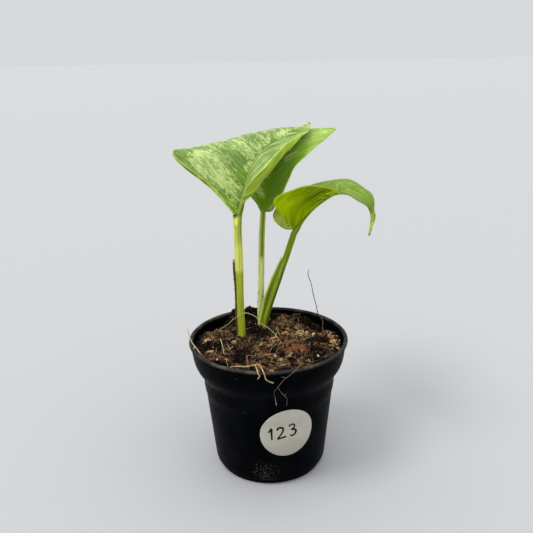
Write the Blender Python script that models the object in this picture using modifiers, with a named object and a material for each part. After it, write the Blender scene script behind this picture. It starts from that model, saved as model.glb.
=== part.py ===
"""Potted marble queen pothos: a small nursery pot of soil in which three stalked leaves are rooted.

Units are metres with +Z up. The origin is the middle of the pot's underside, and the round label on the
pot faces -Y. Every piece is its own object in the collection "potted_marble_queen_pothos".
"""
import math
from typing import NamedTuple

import bmesh
import bpy
import numpy as np
from mathutils import Matrix, Vector, noise

MM = 0.001

# clearance between pieces that touch
GAP = 0.3 * MM

# pot, as (radius, height) in millimetres
POT_SEGMENTS = 36
POT_INNER_WALL = ((24.8, 1.4), (25.9, 3.4), (29.8, 39.6), (30.5, 42.5), (31.0, 46.6), (32.4, 48.8),
                  (33.6, 51.4), (34.6, 54.8), (35.3, 58.7), (35.8, 62.5))
POT_LIP = ((36.1, 64.3), (36.5, 64.9), (37.1, 65.0), (37.8, 64.7), (38.0, 64.1), (37.8, 63.5), (37.1, 63.2))
POT_OUTER_WALL = ((36.6, 58.7), (36.0, 55.2), (35.2, 52.0), (34.1, 49.4), (32.9, 47.3), (32.1, 46.2),
                  (31.2, 39.8), (30.9, 39.2), (27.3, 4.0), (26.8, 1.6), (25.8, 0.0))
POT_FLOOR = 1.4
DRAIN_HOLES = 6
DRAIN_CIRCLE = 17.0
DRAIN_RADIUS = 2.5

# label, an inch dot wrapped round the wall
LABEL_RADIUS = 12.7
LABEL_THICK = 0.3
LABEL_HEIGHT = 29.9
LABEL_TURN = math.radians(15.1)
LABEL_RINGS = 4
LABEL_SEGMENTS = 28

# the label's top rides up over the wall's ledge
LEDGE_RISE = 0.4
LEDGE_RAMP = (33.0, 38.0)

# soil surface, in millimetres
SOIL_LEVEL = 60.8
SOIL_TOP_RADIUS = 35.0
SOIL_SHOULDER = 58.0
SOIL_SEGMENTS = 42
SOIL_RINGS = 14
SOIL_FRONT_RISE = 0.035
CLOD_SIZE = 6.5
CLOD_HEIGHT = 2.6
CRUMB_SIZE = 3.2
CRUMB_HEIGHT = 1.4


class Mound(NamedTuple):
    """A rise of the soil, or a hollow where the height is below nought."""
    x: float
    y: float
    radius: float
    height: float


MOUNDS = (
    Mound(-2, 18, 8, 1.9),
    Mound(-8.3, 31, 5, 8.5),
    Mound(-17, 28, 5, 4.0),
    Mound(7.5, 28, 5.5, 4.2),
    Mound(17, 28, 5, 3.2),
    Mound(16, 15, 5, 1.3),
    Mound(12, -5, 7, 1.4),
    Mound(30, 3, 4, 1.4),
    Mound(-24, 15, 6, 1.2),
    Mound(-13.5, -19, 4, -3.2),
    Mound(2, -12, 4, -1.3),
    Mound(27, 21, 6, -1.4),
)


class Chip(NamedTuple):
    """A lump of bark or fibre bedded in the soil: where it lies, its three sizes, and its turn in degrees."""
    x: float
    y: float
    long: float
    wide: float
    high: float
    turn: float


CHIPS = (
    Chip(8, 11, 7.0, 3.2, 3.0, 20),
    Chip(15, 15, 6.0, 4.4, 3.6, 75),
    Chip(11, -5, 9.0, 6.5, 3.4, 10),
    Chip(32, -6, 6.0, 2.6, 2.4, 120),
    Chip(28, 4, 6.0, 4.4, 3.6, 40),
    Chip(-29, 7, 5.5, 4.0, 3.0, 60),
    Chip(-19, 18, 7.0, 3.6, 3.2, 35),
    Chip(3, -24, 7.5, 4.6, 3.2, 150),
    Chip(23, -15, 4.4, 3.6, 3.0, 0),
    Chip(4, 28, 7.0, 4.8, 4.4, 15),
    Chip(11, 26, 6.0, 4.4, 4.2, 95),
    Chip(-8.5, 30.3, 6.5, 4.5, 4.4, 165),
    Chip(-15.5, 27, 7.0, 4.5, 4.4, 30),
    Chip(-21, -9, 8.5, 3.0, 2.4, 25),
    Chip(-3, -17, 7.5, 3.0, 2.4, 12),
    Chip(20, 24, 6.0, 3.4, 3.0, 130),
    Chip(-8, -7, 8.0, 6.0, 3.4, 70),
)
CHIP_BEDDING = 0.3
CHIP_TILT = 9

# a stem's own length below the soil surface ends at this height
STEM_FOOT = 42.0


class Leaf(NamedTuple):
    """One leaf, in millimetres.

    stalk runs up from the stem's foot to the blade. midrib, left and right are the guide points of the
    blade's middle line and two edges, row by row from the stalk to the tip. The two bows say how far each
    half bellies towards its upper side between midrib and edge, row by row.
    """
    stalk: tuple
    stalk_radius: tuple
    midrib: tuple
    left: tuple
    right: tuple
    left_bow: tuple
    right_bow: tuple
    waves: int


# the marbled leaf on the left, folded along its midrib with its right half towards the viewer
LEAF_LEFT = Leaf(
    stalk=((-13, 8.5, STEM_FOOT), (-13, 8, 62), (-13, 8, 76), (-13, 7.5, 88), (-13.5, 7, 102), (-13.5, 6, 115),
           (-13.5, 6, 121)),
    stalk_radius=(1.4, 1.7, 1.75, 1.8, 1.85, 1.9, 1.9),
    midrib=((-13.5, 6, 123.5), (-12, 10, 128), (-10, 15.5, 133), (-8, 23, 139.5), (-4, 34, 145), (1.5, 45, 149),
            (8.5, 55, 152), (16, 65, 155), (21, 71, 156.5), (25, 75, 157.5)),
    left=((-14.5, 6, 123.5), (-25, 7, 135.5), (-37.5, 8, 146), (-42, 14, 152), (-32, 30, 152), (-17.5, 48, 153),
          (-1, 62, 154.5), (13, 70, 156), (19, 73, 156), (24.5, 75, 158)),
    right=((-12.5, 6, 123.5), (-10.5, -3, 133), (-7.5, -12, 141), (-3, -12, 146), (1.5, -1, 149.5),
           (6.5, 14, 152.5), (12.5, 34, 154), (19, 54, 154), (23.5, 66, 154), (25.5, 75, 156.5)),
    left_bow=(0, 1, 2, 3, 3, 2.5, 1.5, 0.5, 0, 0),
    right_bow=(0, -1.5, -5, -6, -7, -7, -5.5, -3, -1, 0),
    waves=7,
)

# the darker leaf behind it
LEAF_BACK = Leaf(
    stalk=((-3.5, 20.5, STEM_FOOT), (-3.5, 19.5, 62), (-3.5, 19.5, 71), (-3, 20, 87), (-2.5, 20, 101),
           (-2, 20, 112), (-1.5, 20, 118.5)),
    stalk_radius=(1.2, 1.45, 1.4, 1.35, 1.3, 1.25, 1.25),
    midrib=((-1.5, 20, 121), (-0.5, 23, 124.5), (0.5, 28, 129.5), (2.5, 35, 135.5), (6, 45, 141.5), (11, 56, 146),
            (19, 67, 150.5), (29, 75, 153), (39.5, 80, 153.5)),
    left=((-2.5, 20, 121.5), (-5, 26, 125), (-12.5, 36, 132), (-17, 50, 139), (-10, 64, 144), (3, 74, 148.5),
          (16.5, 80, 152), (29, 82, 153), (39, 80.5, 154)),
    right=((-0.5, 20, 121.5), (3, 14, 123.5), (5.5, 9, 131), (8.5, 12, 136), (12.5, 22, 141), (20.5, 38, 145.5),
           (29, 56, 149), (35, 70, 151), (40, 79.5, 153.5)),
    left_bow=(0, 1, 2, 3, 3, 3, 2, 1, 0),
    right_bow=(0, -1, -2, -2, -2, -1, -1, 0, 0),
    waves=6,
)

# the leaf that arches over to the right and ends in a drip tip
LEAF_RIGHT = Leaf(
    stalk=((-3.5, 16.5, STEM_FOOT), (-2, 15.5, 63), (0, 15, 72), (2.5, 14, 81), (5.3, 12.5, 90), (7.1, 11.5, 95.5),
           (9.2, 10.5, 101), (11.3, 9, 108), (13, 8, 113.5)),
    stalk_radius=(1.2, 1.55, 1.55, 1.55, 1.55, 1.55, 1.55, 1.5, 1.5),
    midrib=((13.5, 8, 116), (15.5, 9, 119), (18.5, 11, 121.5), (22.5, 13.5, 124.5), (27, 16, 127), (32, 18, 129.5),
            (38, 17, 132), (44, 13, 131), (48, 8, 128), (49, 5, 124.5), (49, 2, 121), (47, 0, 114)),
    left=((14.5, 8.5, 115.5), (8.5, 14, 114.5), (3.5, 18, 119.5), (9, 29, 125), (20.5, 38, 128.5), (32.5, 40, 131),
          (42.5, 34, 132), (48, 21, 131.5), (50.5, 12, 129), (50, 6, 124.5), (50, 2, 122), (47.4, 0.3, 114)),
    right=((12.5, 7, 116.5), (7, 0, 124), (3.5, -6, 132.5), (9.5, -9, 137), (17.5, -10, 139.5), (26.5, -8, 138.5),
           (35.5, -4, 134.5), (42.5, 0, 130), (46.5, 3, 126.5), (47.8, 4, 124), (47.8, 2, 121), (46.6, -0.3, 114)),
    left_bow=(0, 1, 2, 3, 4, 3.5, 3, 1, 0, 0, 0, 0),
    right_bow=(0, -1, -2, -3, -3, -2, -1, 0, 0, 0, 0, 0),
    waves=6,
)

BLADE_THICK = 0.8
BLADE_ROWS = 22
BLADE_COLUMNS = 10
EDGE_WAVE = 0.5
STEM_SIDES = 10

# the midrib stands out of the blade's underside, thinning towards the tip
RIB_POINTS = 14
RIB_START = 0.02
RIB_REACH = 0.86
RIB_FOOT_WIDTH = 0.75
RIB_TIP_RADIUS = 0.45
RIB_DEPTH = 0.5
RIB_THINNING = 0.8

# the winged sheath runs along this stretch of the right-hand stalk; then the line of its free edge
SHEATH_FOOT = 0.14
SHEATH_TOP = 0.72
SHEATH_ROWS = 10
SHEATH_COLUMNS = 3
SHEATH_BULGE = 0.6
SHEATH_EDGE = ((-6, 17.5, 56), (-5, 17, 64.5), (-4, 17, 71.5), (-2, 17, 78), (2, 15, 89), (4.5, 14, 95),
               (6.5, 13, 100.5))
SHEATH_THICK = 0.7

# the dried, brown remains of a sheath beside the left-hand stalk
DRY_SHEATH_RADIUS = 0.4
DRY_SHEATH_POINTS = 24
DRY_SHEATH_FOOT = 56.0
DRY_SHEATH_TOP = 101.0

# the holes in the soil follow the first part of each stalk
HOLE_STRETCH = 0.3
HOLE_POINTS = 8
FINE_SIDES = 6

# roots in millimetres: each is one or more strands that are grown together
ROOT_RADIUS = 0.32
ROOT_THINNING = (1.0, 0.8)
ROOT_STEP = 2.5
ROOT_POINTS_LEAST = 8
ROOTS = {
    "root_arch": (
        ((-26.5, 17.5, 57), (-25, 16.5, 61), (-20, 11.3, 66.5), (-16.8, 7.0, 71), (-13.5, 5.2, 74),
         (-10.5, 5, 75), (-6, 5, 73), (-3.5, 5, 69.5), (1, 4, 66.5), (4.5, 2, 63), (5.5, -0.5, 60.5), (5.8, -1.5, 57)),
    ),
    "root_front_fork": (
        ((-19, -25.5, 59), (-16.5, -27, 62.5), (-10, -29, 63.5), (-6, -30.5, 65), (-4, -33, 66), (-3, -36.5, 66),
         (-2, -38.9, 64.7), (-1.5, -38.9, 62.5), (-0.5, -38.6, 61.4), (2, -38.2, 60)),
        ((-7, -30.2, 64.5), (-6, -33, 66), (-5.2, -36.5, 66), (-4.6, -38.5, 64.8), (-4, -38.6, 63.8),
         (-5, -38.2, 62)),
    ),
    "root_rim_fork": (
        ((17.5, -27, 58), (16.5, -29, 62.5), (15, -32, 66), (13, -35.5, 66.3), (10.5, -37.8, 65), (8.8, -38, 63.5),
         (6.5, -37.5, 61.5), (5, -37.4, 59.5), (3.2, -37.2, 57), (2, -37, 55), (2.3, -36.4, 52.8), (3, -34, 46.5)),
        ((3.6, -37.3, 57.6), (5.2, -36.6, 54.5), (7.5, -35.4, 51), (7.5, -33, 46)),
    ),
    "root_upright": (
        ((27.6, 14, 57.5), (27.6, 16.5, 61.3), (28.0, 20.0, 63.6), (27.0, 21.5, 65.0), (25.7, 22.5, 66.9),
         (24.8, 24.5, 71.3), (23.8, 26.5, 75.0), (22.5, 28, 81.5), (21, 28, 86), (21.5, 28, 89)),
    ),
    "root_left_rim": (
        ((-29, -17, 57), (-29.5, -18, 62.5), (-31, -19.5, 65.9), (-33, -15, 66), (-35.5, -9, 66), (-37, -4.5, 66.2),
         (-38.6, 1, 68), (-39.5, 3.5, 70)),
    ),
    "root_small": (
        ((-23.5, 5, 57.5), (-23.5, 3, 62.5), (-22, -5, 63.5), (-20.5, -13, 62.5), (-20, -15, 58)),
    ),
}

# (red, green, blue), roughness
FINISHES = {
    "black_plastic": ((0.012, 0.013, 0.015), 0.55),
    "potting_soil": ((0.045, 0.030, 0.022), 0.95),
    "leaf_marbled": ((0.300, 0.460, 0.180), 0.45),
    "leaf_dark": ((0.090, 0.220, 0.030), 0.45),
    "leaf_green": ((0.170, 0.300, 0.030), 0.45),
    "dry_sheath": ((0.060, 0.035, 0.022), 0.85),
    "root_tan": ((0.450, 0.340, 0.170), 0.80),
    "root_brown": ((0.110, 0.080, 0.065), 0.85),
    "label_paper": ((0.560, 0.540, 0.470), 0.60),
}


def clear_scene():
    """Removes whatever the opened file holds."""
    for item in list(bpy.data.objects):
        bpy.data.objects.remove(item, do_unlink=True)


def new_collection(name):
    """Adds a collection under the scene."""
    group = bpy.data.collections.new(name)
    bpy.context.scene.collection.children.link(group)
    return group


def finish(name):
    """Makes the named finish's material, once."""
    found = bpy.data.materials.get(name)
    if found:
        return found
    colour, roughness = FINISHES[name]
    material = bpy.data.materials.new(name)
    material.use_nodes = True
    shader = material.node_tree.nodes["Principled BSDF"]
    shader.inputs["Base Color"].default_value = (*colour, 1.0)
    shader.inputs["Roughness"].default_value = roughness
    shader.inputs["Metallic"].default_value = 0.0
    return material


def new_object(name, mesh, group):
    """Puts a mesh into a collection as an object."""
    item = bpy.data.objects.new(name, mesh)
    group.objects.link(item)
    return item


def dress(item, finish_name):
    """Gives a piece its finish and shades its round faces smooth."""
    item.data.materials.clear()
    item.data.materials.append(finish(finish_name))
    item.data.shade_smooth()
    item.data.set_sharp_from_angle(angle=math.radians(40))
    return item


def bake(item):
    """Turns an object with its modifiers into an object with the plain mesh that they make."""
    bpy.context.view_layer.update()
    made = item.evaluated_get(bpy.context.evaluated_depsgraph_get())
    mesh = bpy.data.meshes.new_from_object(made)
    name, group, place = item.name, item.users_collection[0], item.matrix_world.copy()
    bpy.data.objects.remove(item, do_unlink=True)
    plain = new_object(name, mesh, group)
    plain.matrix_world = place
    weld(mesh)
    return plain


def weld(mesh):
    """Joins the vertices that lie on each other."""
    edit = bmesh.new()
    edit.from_mesh(mesh)
    bmesh.ops.remove_doubles(edit, verts=edit.verts, dist=0.001 * MM)
    bmesh.ops.recalc_face_normals(edit, faces=edit.faces)
    edit.to_mesh(mesh)
    edit.free()


def combine(item, others, operation):
    """Joins the other objects to an object, or cuts them from it, and removes them."""
    group = new_collection(item.name + "_" + operation.lower())
    for other in others:
        for holder in list(other.users_collection):
            holder.objects.unlink(other)
        group.objects.link(other)
    step = item.modifiers.new(operation.lower(), "BOOLEAN")
    step.operation = operation
    step.operand_type = "COLLECTION"
    step.collection = group
    step.solver = "EXACT"
    item = bake(item)
    for other in list(group.objects):
        bpy.data.objects.remove(other, do_unlink=True)
    bpy.data.collections.remove(group)
    return item


def drop_scraps(item):
    """Keeps the largest body of a mesh, and drops the crumbs that a cut has set free."""
    edit = bmesh.new()
    edit.from_mesh(item.data)
    waiting = set(edit.verts)
    bodies = []
    while waiting:
        body = set()
        edge = [waiting.pop()]
        while edge:
            vertex = edge.pop()
            body.add(vertex)
            near = {link.other_vert(vertex) for link in vertex.link_edges} & waiting
            waiting -= near
            edge.extend(near)
        bodies.append(body)
    bodies.sort(key=len)
    for body in bodies[:-1]:
        bmesh.ops.delete(edit, geom=list(body), context="VERTS")
    edit.to_mesh(item.data)
    edit.free()
    return item


def smooth(points, along):
    """Reads a smooth curve through the points at places from 0, the first point, to 1, the last."""
    points = np.asarray(points, float)
    last = len(points) - 1
    guides = np.concatenate([[2 * points[0] - points[1]], points, [2 * points[-1] - points[-2]]])
    place = np.clip(np.asarray(along, float), 0, 1) * last
    step = np.minimum(place.astype(int), last - 1)
    part = place - step
    if points.ndim > 1:
        part = part[:, None]
    before, start, end, after = guides[step], guides[step + 1], guides[step + 2], guides[step + 3]
    return 0.5 * (2 * start + (end - before) * part
                  + (2 * before - 5 * start + 4 * end - after) * part ** 2
                  + (3 * start - before - 3 * end + after) * part ** 3)


def blade_points(leaf, along, across):
    """Places points of a blade in millimetres.

    along runs from 0 at the stalk to 1 at the tip, and across from -1 at the left edge to 1 at the right.
    Returns the points, and at each one the direction of the blade's upper side.
    """
    small_step = 0.002
    rib = smooth(leaf.midrib, along)
    ahead = smooth(leaf.midrib, along + small_step) - smooth(leaf.midrib, along - small_step)
    on_left = across < 0
    edge = np.where(on_left[:, None], smooth(leaf.left, along), smooth(leaf.right, along))
    bow = np.where(on_left, smooth(leaf.left_bow, along), smooth(leaf.right_bow, along))
    reach = np.abs(across)
    upward = np.cross(ahead, edge - rib) * np.where(on_left, 1, -1)[:, None]
    upward /= np.linalg.norm(upward, axis=1, keepdims=True)
    wave = EDGE_WAVE * np.sin(2 * math.pi * leaf.waves * along) * np.sin(math.pi * along) * reach ** 3
    lift = bow * 4 * reach * (1 - reach) + wave
    return rib + (edge - rib) * reach[:, None] + upward * lift[:, None], upward


def tube(name, points, radii, group, sides=8):
    """Draws a round stem of changing thickness through points, all in millimetres, as a closed mesh."""
    curve = bpy.data.curves.new(name, "CURVE")
    curve.dimensions = "3D"
    curve.bevel_depth = MM
    curve.bevel_resolution = sides // 2 - 2
    curve.use_fill_caps = True
    line = curve.splines.new("POLY")
    line.points.add(len(points) - 1)
    for spot, place, radius in zip(line.points, points, radii):
        spot.co = (*(Vector(place) * MM), 1.0)
        spot.radius = radius
    return bake(new_object(name, curve, group))


def grid_mesh(name, rows, columns, group):
    """Adds a flat grid whose x runs from 0 to 1 along its rows, and y from -1 to 1 across them."""
    edit = bmesh.new()
    bmesh.ops.create_grid(edit, x_segments=rows, y_segments=columns, size=1.0)
    for vertex in edit.verts:
        vertex.co.x = (vertex.co.x + 1) / 2
    mesh = bpy.data.meshes.new(name)
    edit.to_mesh(mesh)
    edit.free()
    return new_object(name, mesh, group)


def thicken(item, thickness):
    """Gives an open sheet its thickness in millimetres, split into the same triangles on both faces."""
    item.modifiers.new("triangles", "TRIANGULATE")
    shell = item.modifiers.new("thickness", "SOLIDIFY")
    shell.thickness = thickness * MM
    shell.offset = 0.0
    return bake(item)


def make_blade(name, leaf, group):
    """Models the blade of a leaf as a thin closed sheet."""
    blade = grid_mesh(name, BLADE_ROWS, BLADE_COLUMNS, group)
    flat = np.array([vertex.co for vertex in blade.data.vertices])
    places, _ = blade_points(leaf, flat[:, 0], flat[:, 1])
    for vertex, place in zip(blade.data.vertices, places):
        vertex.co = Vector(place) * MM
    return thicken(blade, BLADE_THICK)


def stalk_line(leaf):
    """Follows a leaf's stalk and then the underside of its midrib, in millimetres, with the radius there."""
    stalk_places = np.linspace(0, 1, 2 * len(leaf.stalk))
    stalk = smooth(leaf.stalk, stalk_places)
    stalk_radii = smooth(leaf.stalk_radius, stalk_places)
    rib_places = np.linspace(RIB_START, RIB_REACH, RIB_POINTS)
    beside = np.full(RIB_POINTS, 0.001)
    rib, left_up = blade_points(leaf, rib_places, -beside)
    _, right_up = blade_points(leaf, rib_places, beside)
    upward = left_up + right_up
    upward /= np.linalg.norm(upward, axis=1, keepdims=True)
    thinning = (1 - rib_places / RIB_REACH) ** RIB_THINNING
    rib_radii = RIB_TIP_RADIUS + (leaf.stalk_radius[-1] * RIB_FOOT_WIDTH - RIB_TIP_RADIUS) * thinning
    rib = rib - upward * (rib_radii * RIB_DEPTH)[:, None]
    return np.concatenate([stalk, rib]), np.concatenate([stalk_radii, rib_radii])


def sheath(name, leaf, thickness, grow, group):
    """Models the wing of sheath between a stalk and the sheath's free edge, or with grow its hole in the soil."""
    wing = grid_mesh(name, SHEATH_ROWS, SHEATH_COLUMNS, group)
    for vertex in wing.data.vertices:
        along, across = np.array([vertex.co.x]), (vertex.co.y + 1) / 2
        inner = smooth(leaf.stalk, SHEATH_FOOT + along * (SHEATH_TOP - SHEATH_FOOT))[0]
        outer = smooth(SHEATH_EDGE, along)[0]
        outward = (outer - inner) / np.linalg.norm(outer - inner)
        place = inner + (outer - inner) * across + outward * grow * across
        bulge = SHEATH_BULGE * math.sin(math.pi * across)
        vertex.co = (Vector(place) + Vector((0, -bulge, -grow))) * MM
    return thicken(wing, thickness)


def make_leaf(name, leaf, group, finish_name, with_sheath=False):
    """Models a leaf with its stalk and midrib as one grown piece."""
    line, radii = stalk_line(leaf)
    stem = tube(name, line, radii, group, STEM_SIDES)
    others = [make_blade(name + "_blade", leaf, group)]
    if with_sheath:
        others.append(sheath(name + "_sheath", leaf, SHEATH_THICK, 0.0, group))
    return dress(combine(stem, others, "UNION"), finish_name)


def turned(name, profile, group, segments=POT_SEGMENTS):
    """Turns a profile of (radius, height) in millimetres round the vertical axis."""
    mesh = bpy.data.meshes.new(name)
    mesh.from_pydata([(radius * MM, 0, height * MM) for radius, height in profile],
                     [(spot, spot + 1) for spot in range(len(profile) - 1)], [])
    item = new_object(name, mesh, group)
    turn = item.modifiers.new("turn", "SCREW")
    turn.steps = segments
    turn.render_steps = segments
    turn.use_merge_vertices = True
    turn.merge_threshold = 0.01 * MM
    return bake(item)


def make_pot(group):
    """Models the pot with its rolled lip, collar, ledge and drainage holes."""
    profile = ((0, POT_FLOOR),) + POT_INNER_WALL + POT_LIP + POT_OUTER_WALL + ((0, 0),)
    pot = turned("pot", profile, group)
    holes = []
    for number in range(DRAIN_HOLES):
        bpy.ops.mesh.primitive_cylinder_add(vertices=12, radius=DRAIN_RADIUS * MM, depth=4 * POT_FLOOR * MM)
        hole = bpy.context.object
        turn = 2 * math.pi * number / DRAIN_HOLES
        hole.location = (DRAIN_CIRCLE * MM * math.cos(turn), DRAIN_CIRCLE * MM * math.sin(turn), 0)
        holes.append(hole)
    return dress(combine(pot, holes, "DIFFERENCE"), "black_plastic")


def wall_radius(height):
    """The radius that a sheet on the pot's wall follows at a height, over the ledge, in millimetres."""
    (top_radius, top), (foot_radius, foot) = POT_OUTER_WALL[7], POT_OUTER_WALL[8]
    start, end = LEDGE_RAMP
    ramp = min(max((height - start) / (end - start), 0), 1)
    ramp *= ramp * (3 - 2 * ramp)
    return foot_radius + (top_radius - foot_radius) * (height - foot) / (top - foot) + LEDGE_RISE * ramp


def make_label(group):
    """Models the round label, wrapped round the wall just clear of it."""
    rings = [(LABEL_RADIUS * (LABEL_RINGS - ring) / LABEL_RINGS, 0) for ring in range(LABEL_RINGS + 1)]
    label = turned("label", rings, group, LABEL_SEGMENTS)
    for vertex in label.data.vertices:
        height = LABEL_HEIGHT + vertex.co.y / MM
        radius = wall_radius(height) + GAP / MM + LABEL_THICK / 2
        turn = LABEL_TURN + vertex.co.x / MM / radius
        vertex.co = Vector((radius * math.sin(turn), -radius * math.cos(turn), height)) * MM
    return dress(thicken(label, LABEL_THICK), "label_paper")


def soil_height(x, y):
    """The height of the soil surface in millimetres: level ground, mounds and hollows, then clods and crumbs."""
    height = SOIL_LEVEL - SOIL_FRONT_RISE * y
    for mound in MOUNDS:
        far = math.hypot(x - mound.x, y - mound.y) / mound.radius
        height += mound.height * math.exp(-far * far)
    height += CLOD_HEIGHT * noise.noise(Vector((x / CLOD_SIZE, y / CLOD_SIZE, 3.0)))
    height += CRUMB_HEIGHT * noise.noise(Vector((x / CRUMB_SIZE, y / CRUMB_SIZE, 8.0)))
    return height


def make_chip(chip, group):
    """Models one lump that is bedded in the soil surface."""
    bpy.ops.mesh.primitive_ico_sphere_add(subdivisions=1, radius=1.0)
    lump = bpy.context.object
    size = Matrix.Diagonal((chip.long / 2 * MM, chip.wide / 2 * MM, chip.high / 2 * MM, 1))
    spot = Vector((chip.x, chip.y, soil_height(chip.x, chip.y) + chip.high * (0.5 - CHIP_BEDDING))) * MM
    turn = Matrix.Rotation(math.radians(chip.turn), 4, "Z") @ Matrix.Rotation(math.radians(CHIP_TILT), 4, "X")
    lump.data.transform(Matrix.Translation(spot) @ turn @ size)
    return lump


def make_soil(group):
    """Models the root ball of soil, its clods and chips, and a hole for each stem and root that stands in it."""
    below = [(radius - GAP / MM, height) for radius, height in POT_INNER_WALL if height < SOIL_SHOULDER]
    below[0] = (below[0][0], POT_FLOOR + GAP / MM)
    top = [(SOIL_TOP_RADIUS * (SOIL_RINGS - ring) / SOIL_RINGS, SOIL_LEVEL) for ring in range(SOIL_RINGS + 1)]
    profile = [(0, below[0][1])] + below + [(SOIL_TOP_RADIUS - 0.2, SOIL_SHOULDER)] + top
    soil = turned("soil", profile[::-1], group, SOIL_SEGMENTS)
    for vertex in soil.data.vertices:
        if vertex.co.z > (SOIL_SHOULDER + SOIL_LEVEL) / 2 * MM:
            vertex.co.z = soil_height(vertex.co.x / MM, vertex.co.y / MM) * MM
    soil = combine(soil, [make_chip(chip, group) for chip in CHIPS], "UNION")
    soil = combine(soil, stem_holes(group), "DIFFERENCE")
    return dress(drop_scraps(soil), "potting_soil")


def stem_holes(group):
    """Makes the cutters of the plain holes that the stems, sheaths and roots stand in."""
    cutters = []
    clear = GAP / MM
    for name, leaf in (("left", LEAF_LEFT), ("back", LEAF_BACK), ("right", LEAF_RIGHT)):
        places = np.linspace(0, HOLE_STRETCH, HOLE_POINTS)
        line = smooth(leaf.stalk, places)
        line[0, 2] -= clear
        radii = smooth(leaf.stalk_radius, places) + clear
        cutters.append(tube("hole_" + name, line, radii, group, STEM_SIDES))
    cutters.append(sheath("hole_sheath", LEAF_RIGHT, SHEATH_THICK + 2 * clear, clear, group))
    line = dry_sheath_line()
    line[0, 2] -= clear
    radii = np.full(len(line), DRY_SHEATH_RADIUS + clear)
    cutters.append(tube("hole_dry_sheath", line, radii, group, FINE_SIDES))
    for name, strands in ROOTS.items():
        for number, strand in enumerate(strands):
            line = root_line(strand)
            radii = np.full(len(line), ROOT_RADIUS + clear)
            cutters.append(tube(f"hole_{name}_{number}", line, radii, group, FINE_SIDES))
    return cutters


def dry_sheath_line():
    """Follows the left-hand stalk at its left side, just clear of it, in millimetres."""
    places = np.linspace(0, 1, DRY_SHEATH_POINTS)
    line = smooth(LEAF_LEFT.stalk, places)
    line[:, 0] -= smooth(LEAF_LEFT.stalk_radius, places) + GAP / MM + DRY_SHEATH_RADIUS
    return line[(line[:, 2] > DRY_SHEATH_FOOT) & (line[:, 2] < DRY_SHEATH_TOP)]


def make_dry_sheath(group):
    """Models the dried strip of sheath that stands beside the left-hand stalk."""
    line = dry_sheath_line()
    radii = np.linspace(*ROOT_THINNING, len(line)) * DRY_SHEATH_RADIUS
    return dress(tube("dry_sheath", line, radii, group, FINE_SIDES), "dry_sheath")


def root_line(strand):
    """Reads a root strand as a smooth line with a point about every ROOT_STEP."""
    guides = np.array(strand, float)
    length = np.linalg.norm(np.diff(guides, axis=0), axis=1).sum()
    return smooth(guides, np.linspace(0, 1, max(ROOT_POINTS_LEAST, int(length / ROOT_STEP))))


def make_root(name, strands, group):
    """Models a root from its strands, which are grown together where they fork."""
    parts = []
    for number, strand in enumerate(strands):
        line = root_line(strand)
        radii = ROOT_RADIUS * np.linspace(*ROOT_THINNING, len(line))
        parts.append(tube(name if number == 0 else f"{name}_{number}", line, radii, group, FINE_SIDES))
    root = parts[0]
    if len(parts) > 1:
        root = combine(root, parts[1:], "UNION")
    brown = name in ("root_rim_fork", "root_upright")
    return dress(root, "root_brown" if brown else "root_tan")


def main():
    """Builds every piece."""
    clear_scene()
    group = new_collection("potted_marble_queen_pothos")
    make_pot(group)
    make_label(group)
    make_soil(group)
    make_leaf("leaf_left", LEAF_LEFT, group, "leaf_marbled")
    make_leaf("leaf_back", LEAF_BACK, group, "leaf_dark")
    make_leaf("leaf_right", LEAF_RIGHT, group, "leaf_green", with_sheath=True)
    make_dry_sheath(group)
    for name, strands in ROOTS.items():
        make_root(name, strands, group)


main()
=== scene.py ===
"""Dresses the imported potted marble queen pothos.

A small black nursery pot holds rough potting soil with three stalked leaves, thin roots and a round paper
label. Sizes are in millimetres unless a name says otherwise, and MM turns them into Blender's metres. The
origin is the middle of the pot's underside, +Z is up, and the label faces -Y.
"""
import logging
import math
import random
from dataclasses import dataclass, field
from enum import Enum
from functools import cache
from typing import Callable, Iterator, Sequence, Union

import bpy
import numpy as np
from mathutils import Euler, Matrix, Vector, noise


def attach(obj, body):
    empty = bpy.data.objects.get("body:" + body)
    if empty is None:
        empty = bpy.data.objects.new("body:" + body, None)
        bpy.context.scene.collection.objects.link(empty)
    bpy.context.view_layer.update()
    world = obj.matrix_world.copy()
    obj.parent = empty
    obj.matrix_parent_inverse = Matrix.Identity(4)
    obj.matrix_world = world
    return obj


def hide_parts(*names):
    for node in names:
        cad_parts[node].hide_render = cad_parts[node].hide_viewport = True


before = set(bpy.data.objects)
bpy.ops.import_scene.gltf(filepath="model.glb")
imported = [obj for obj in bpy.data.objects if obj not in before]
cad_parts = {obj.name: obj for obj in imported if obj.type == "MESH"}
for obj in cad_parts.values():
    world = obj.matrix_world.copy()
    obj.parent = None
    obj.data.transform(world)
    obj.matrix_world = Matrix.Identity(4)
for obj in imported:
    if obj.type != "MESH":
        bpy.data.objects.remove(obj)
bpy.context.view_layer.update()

MM = 0.001
log = logging.getLogger("pothos")

Colour = tuple[float, float, float]
Point = tuple[float, float, float]
Socket = bpy.types.NodeSocket
Feed = Union[Socket, float, Sequence[float]]
Surface = tuple[Socket, Socket, Union[Socket, None]]
Values = Union[float, np.ndarray]


class Slot(Enum):
    """The record's material slots."""
    PLASTIC = "black_plastic"
    PAPER = "label_paper"
    INK = "label_ink"
    SOIL = "potting_soil"
    LEAF_MARBLED = "leaf_marbled"
    LEAF_DARK = "leaf_dark"
    LEAF_GREEN = "leaf_green"
    DRY_SHEATH = "dry_sheath"
    ROOT_TAN = "root_tan"
    ROOT_BROWN = "root_brown"
    BARK = "bark"
    PERLITE = "perlite"


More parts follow.
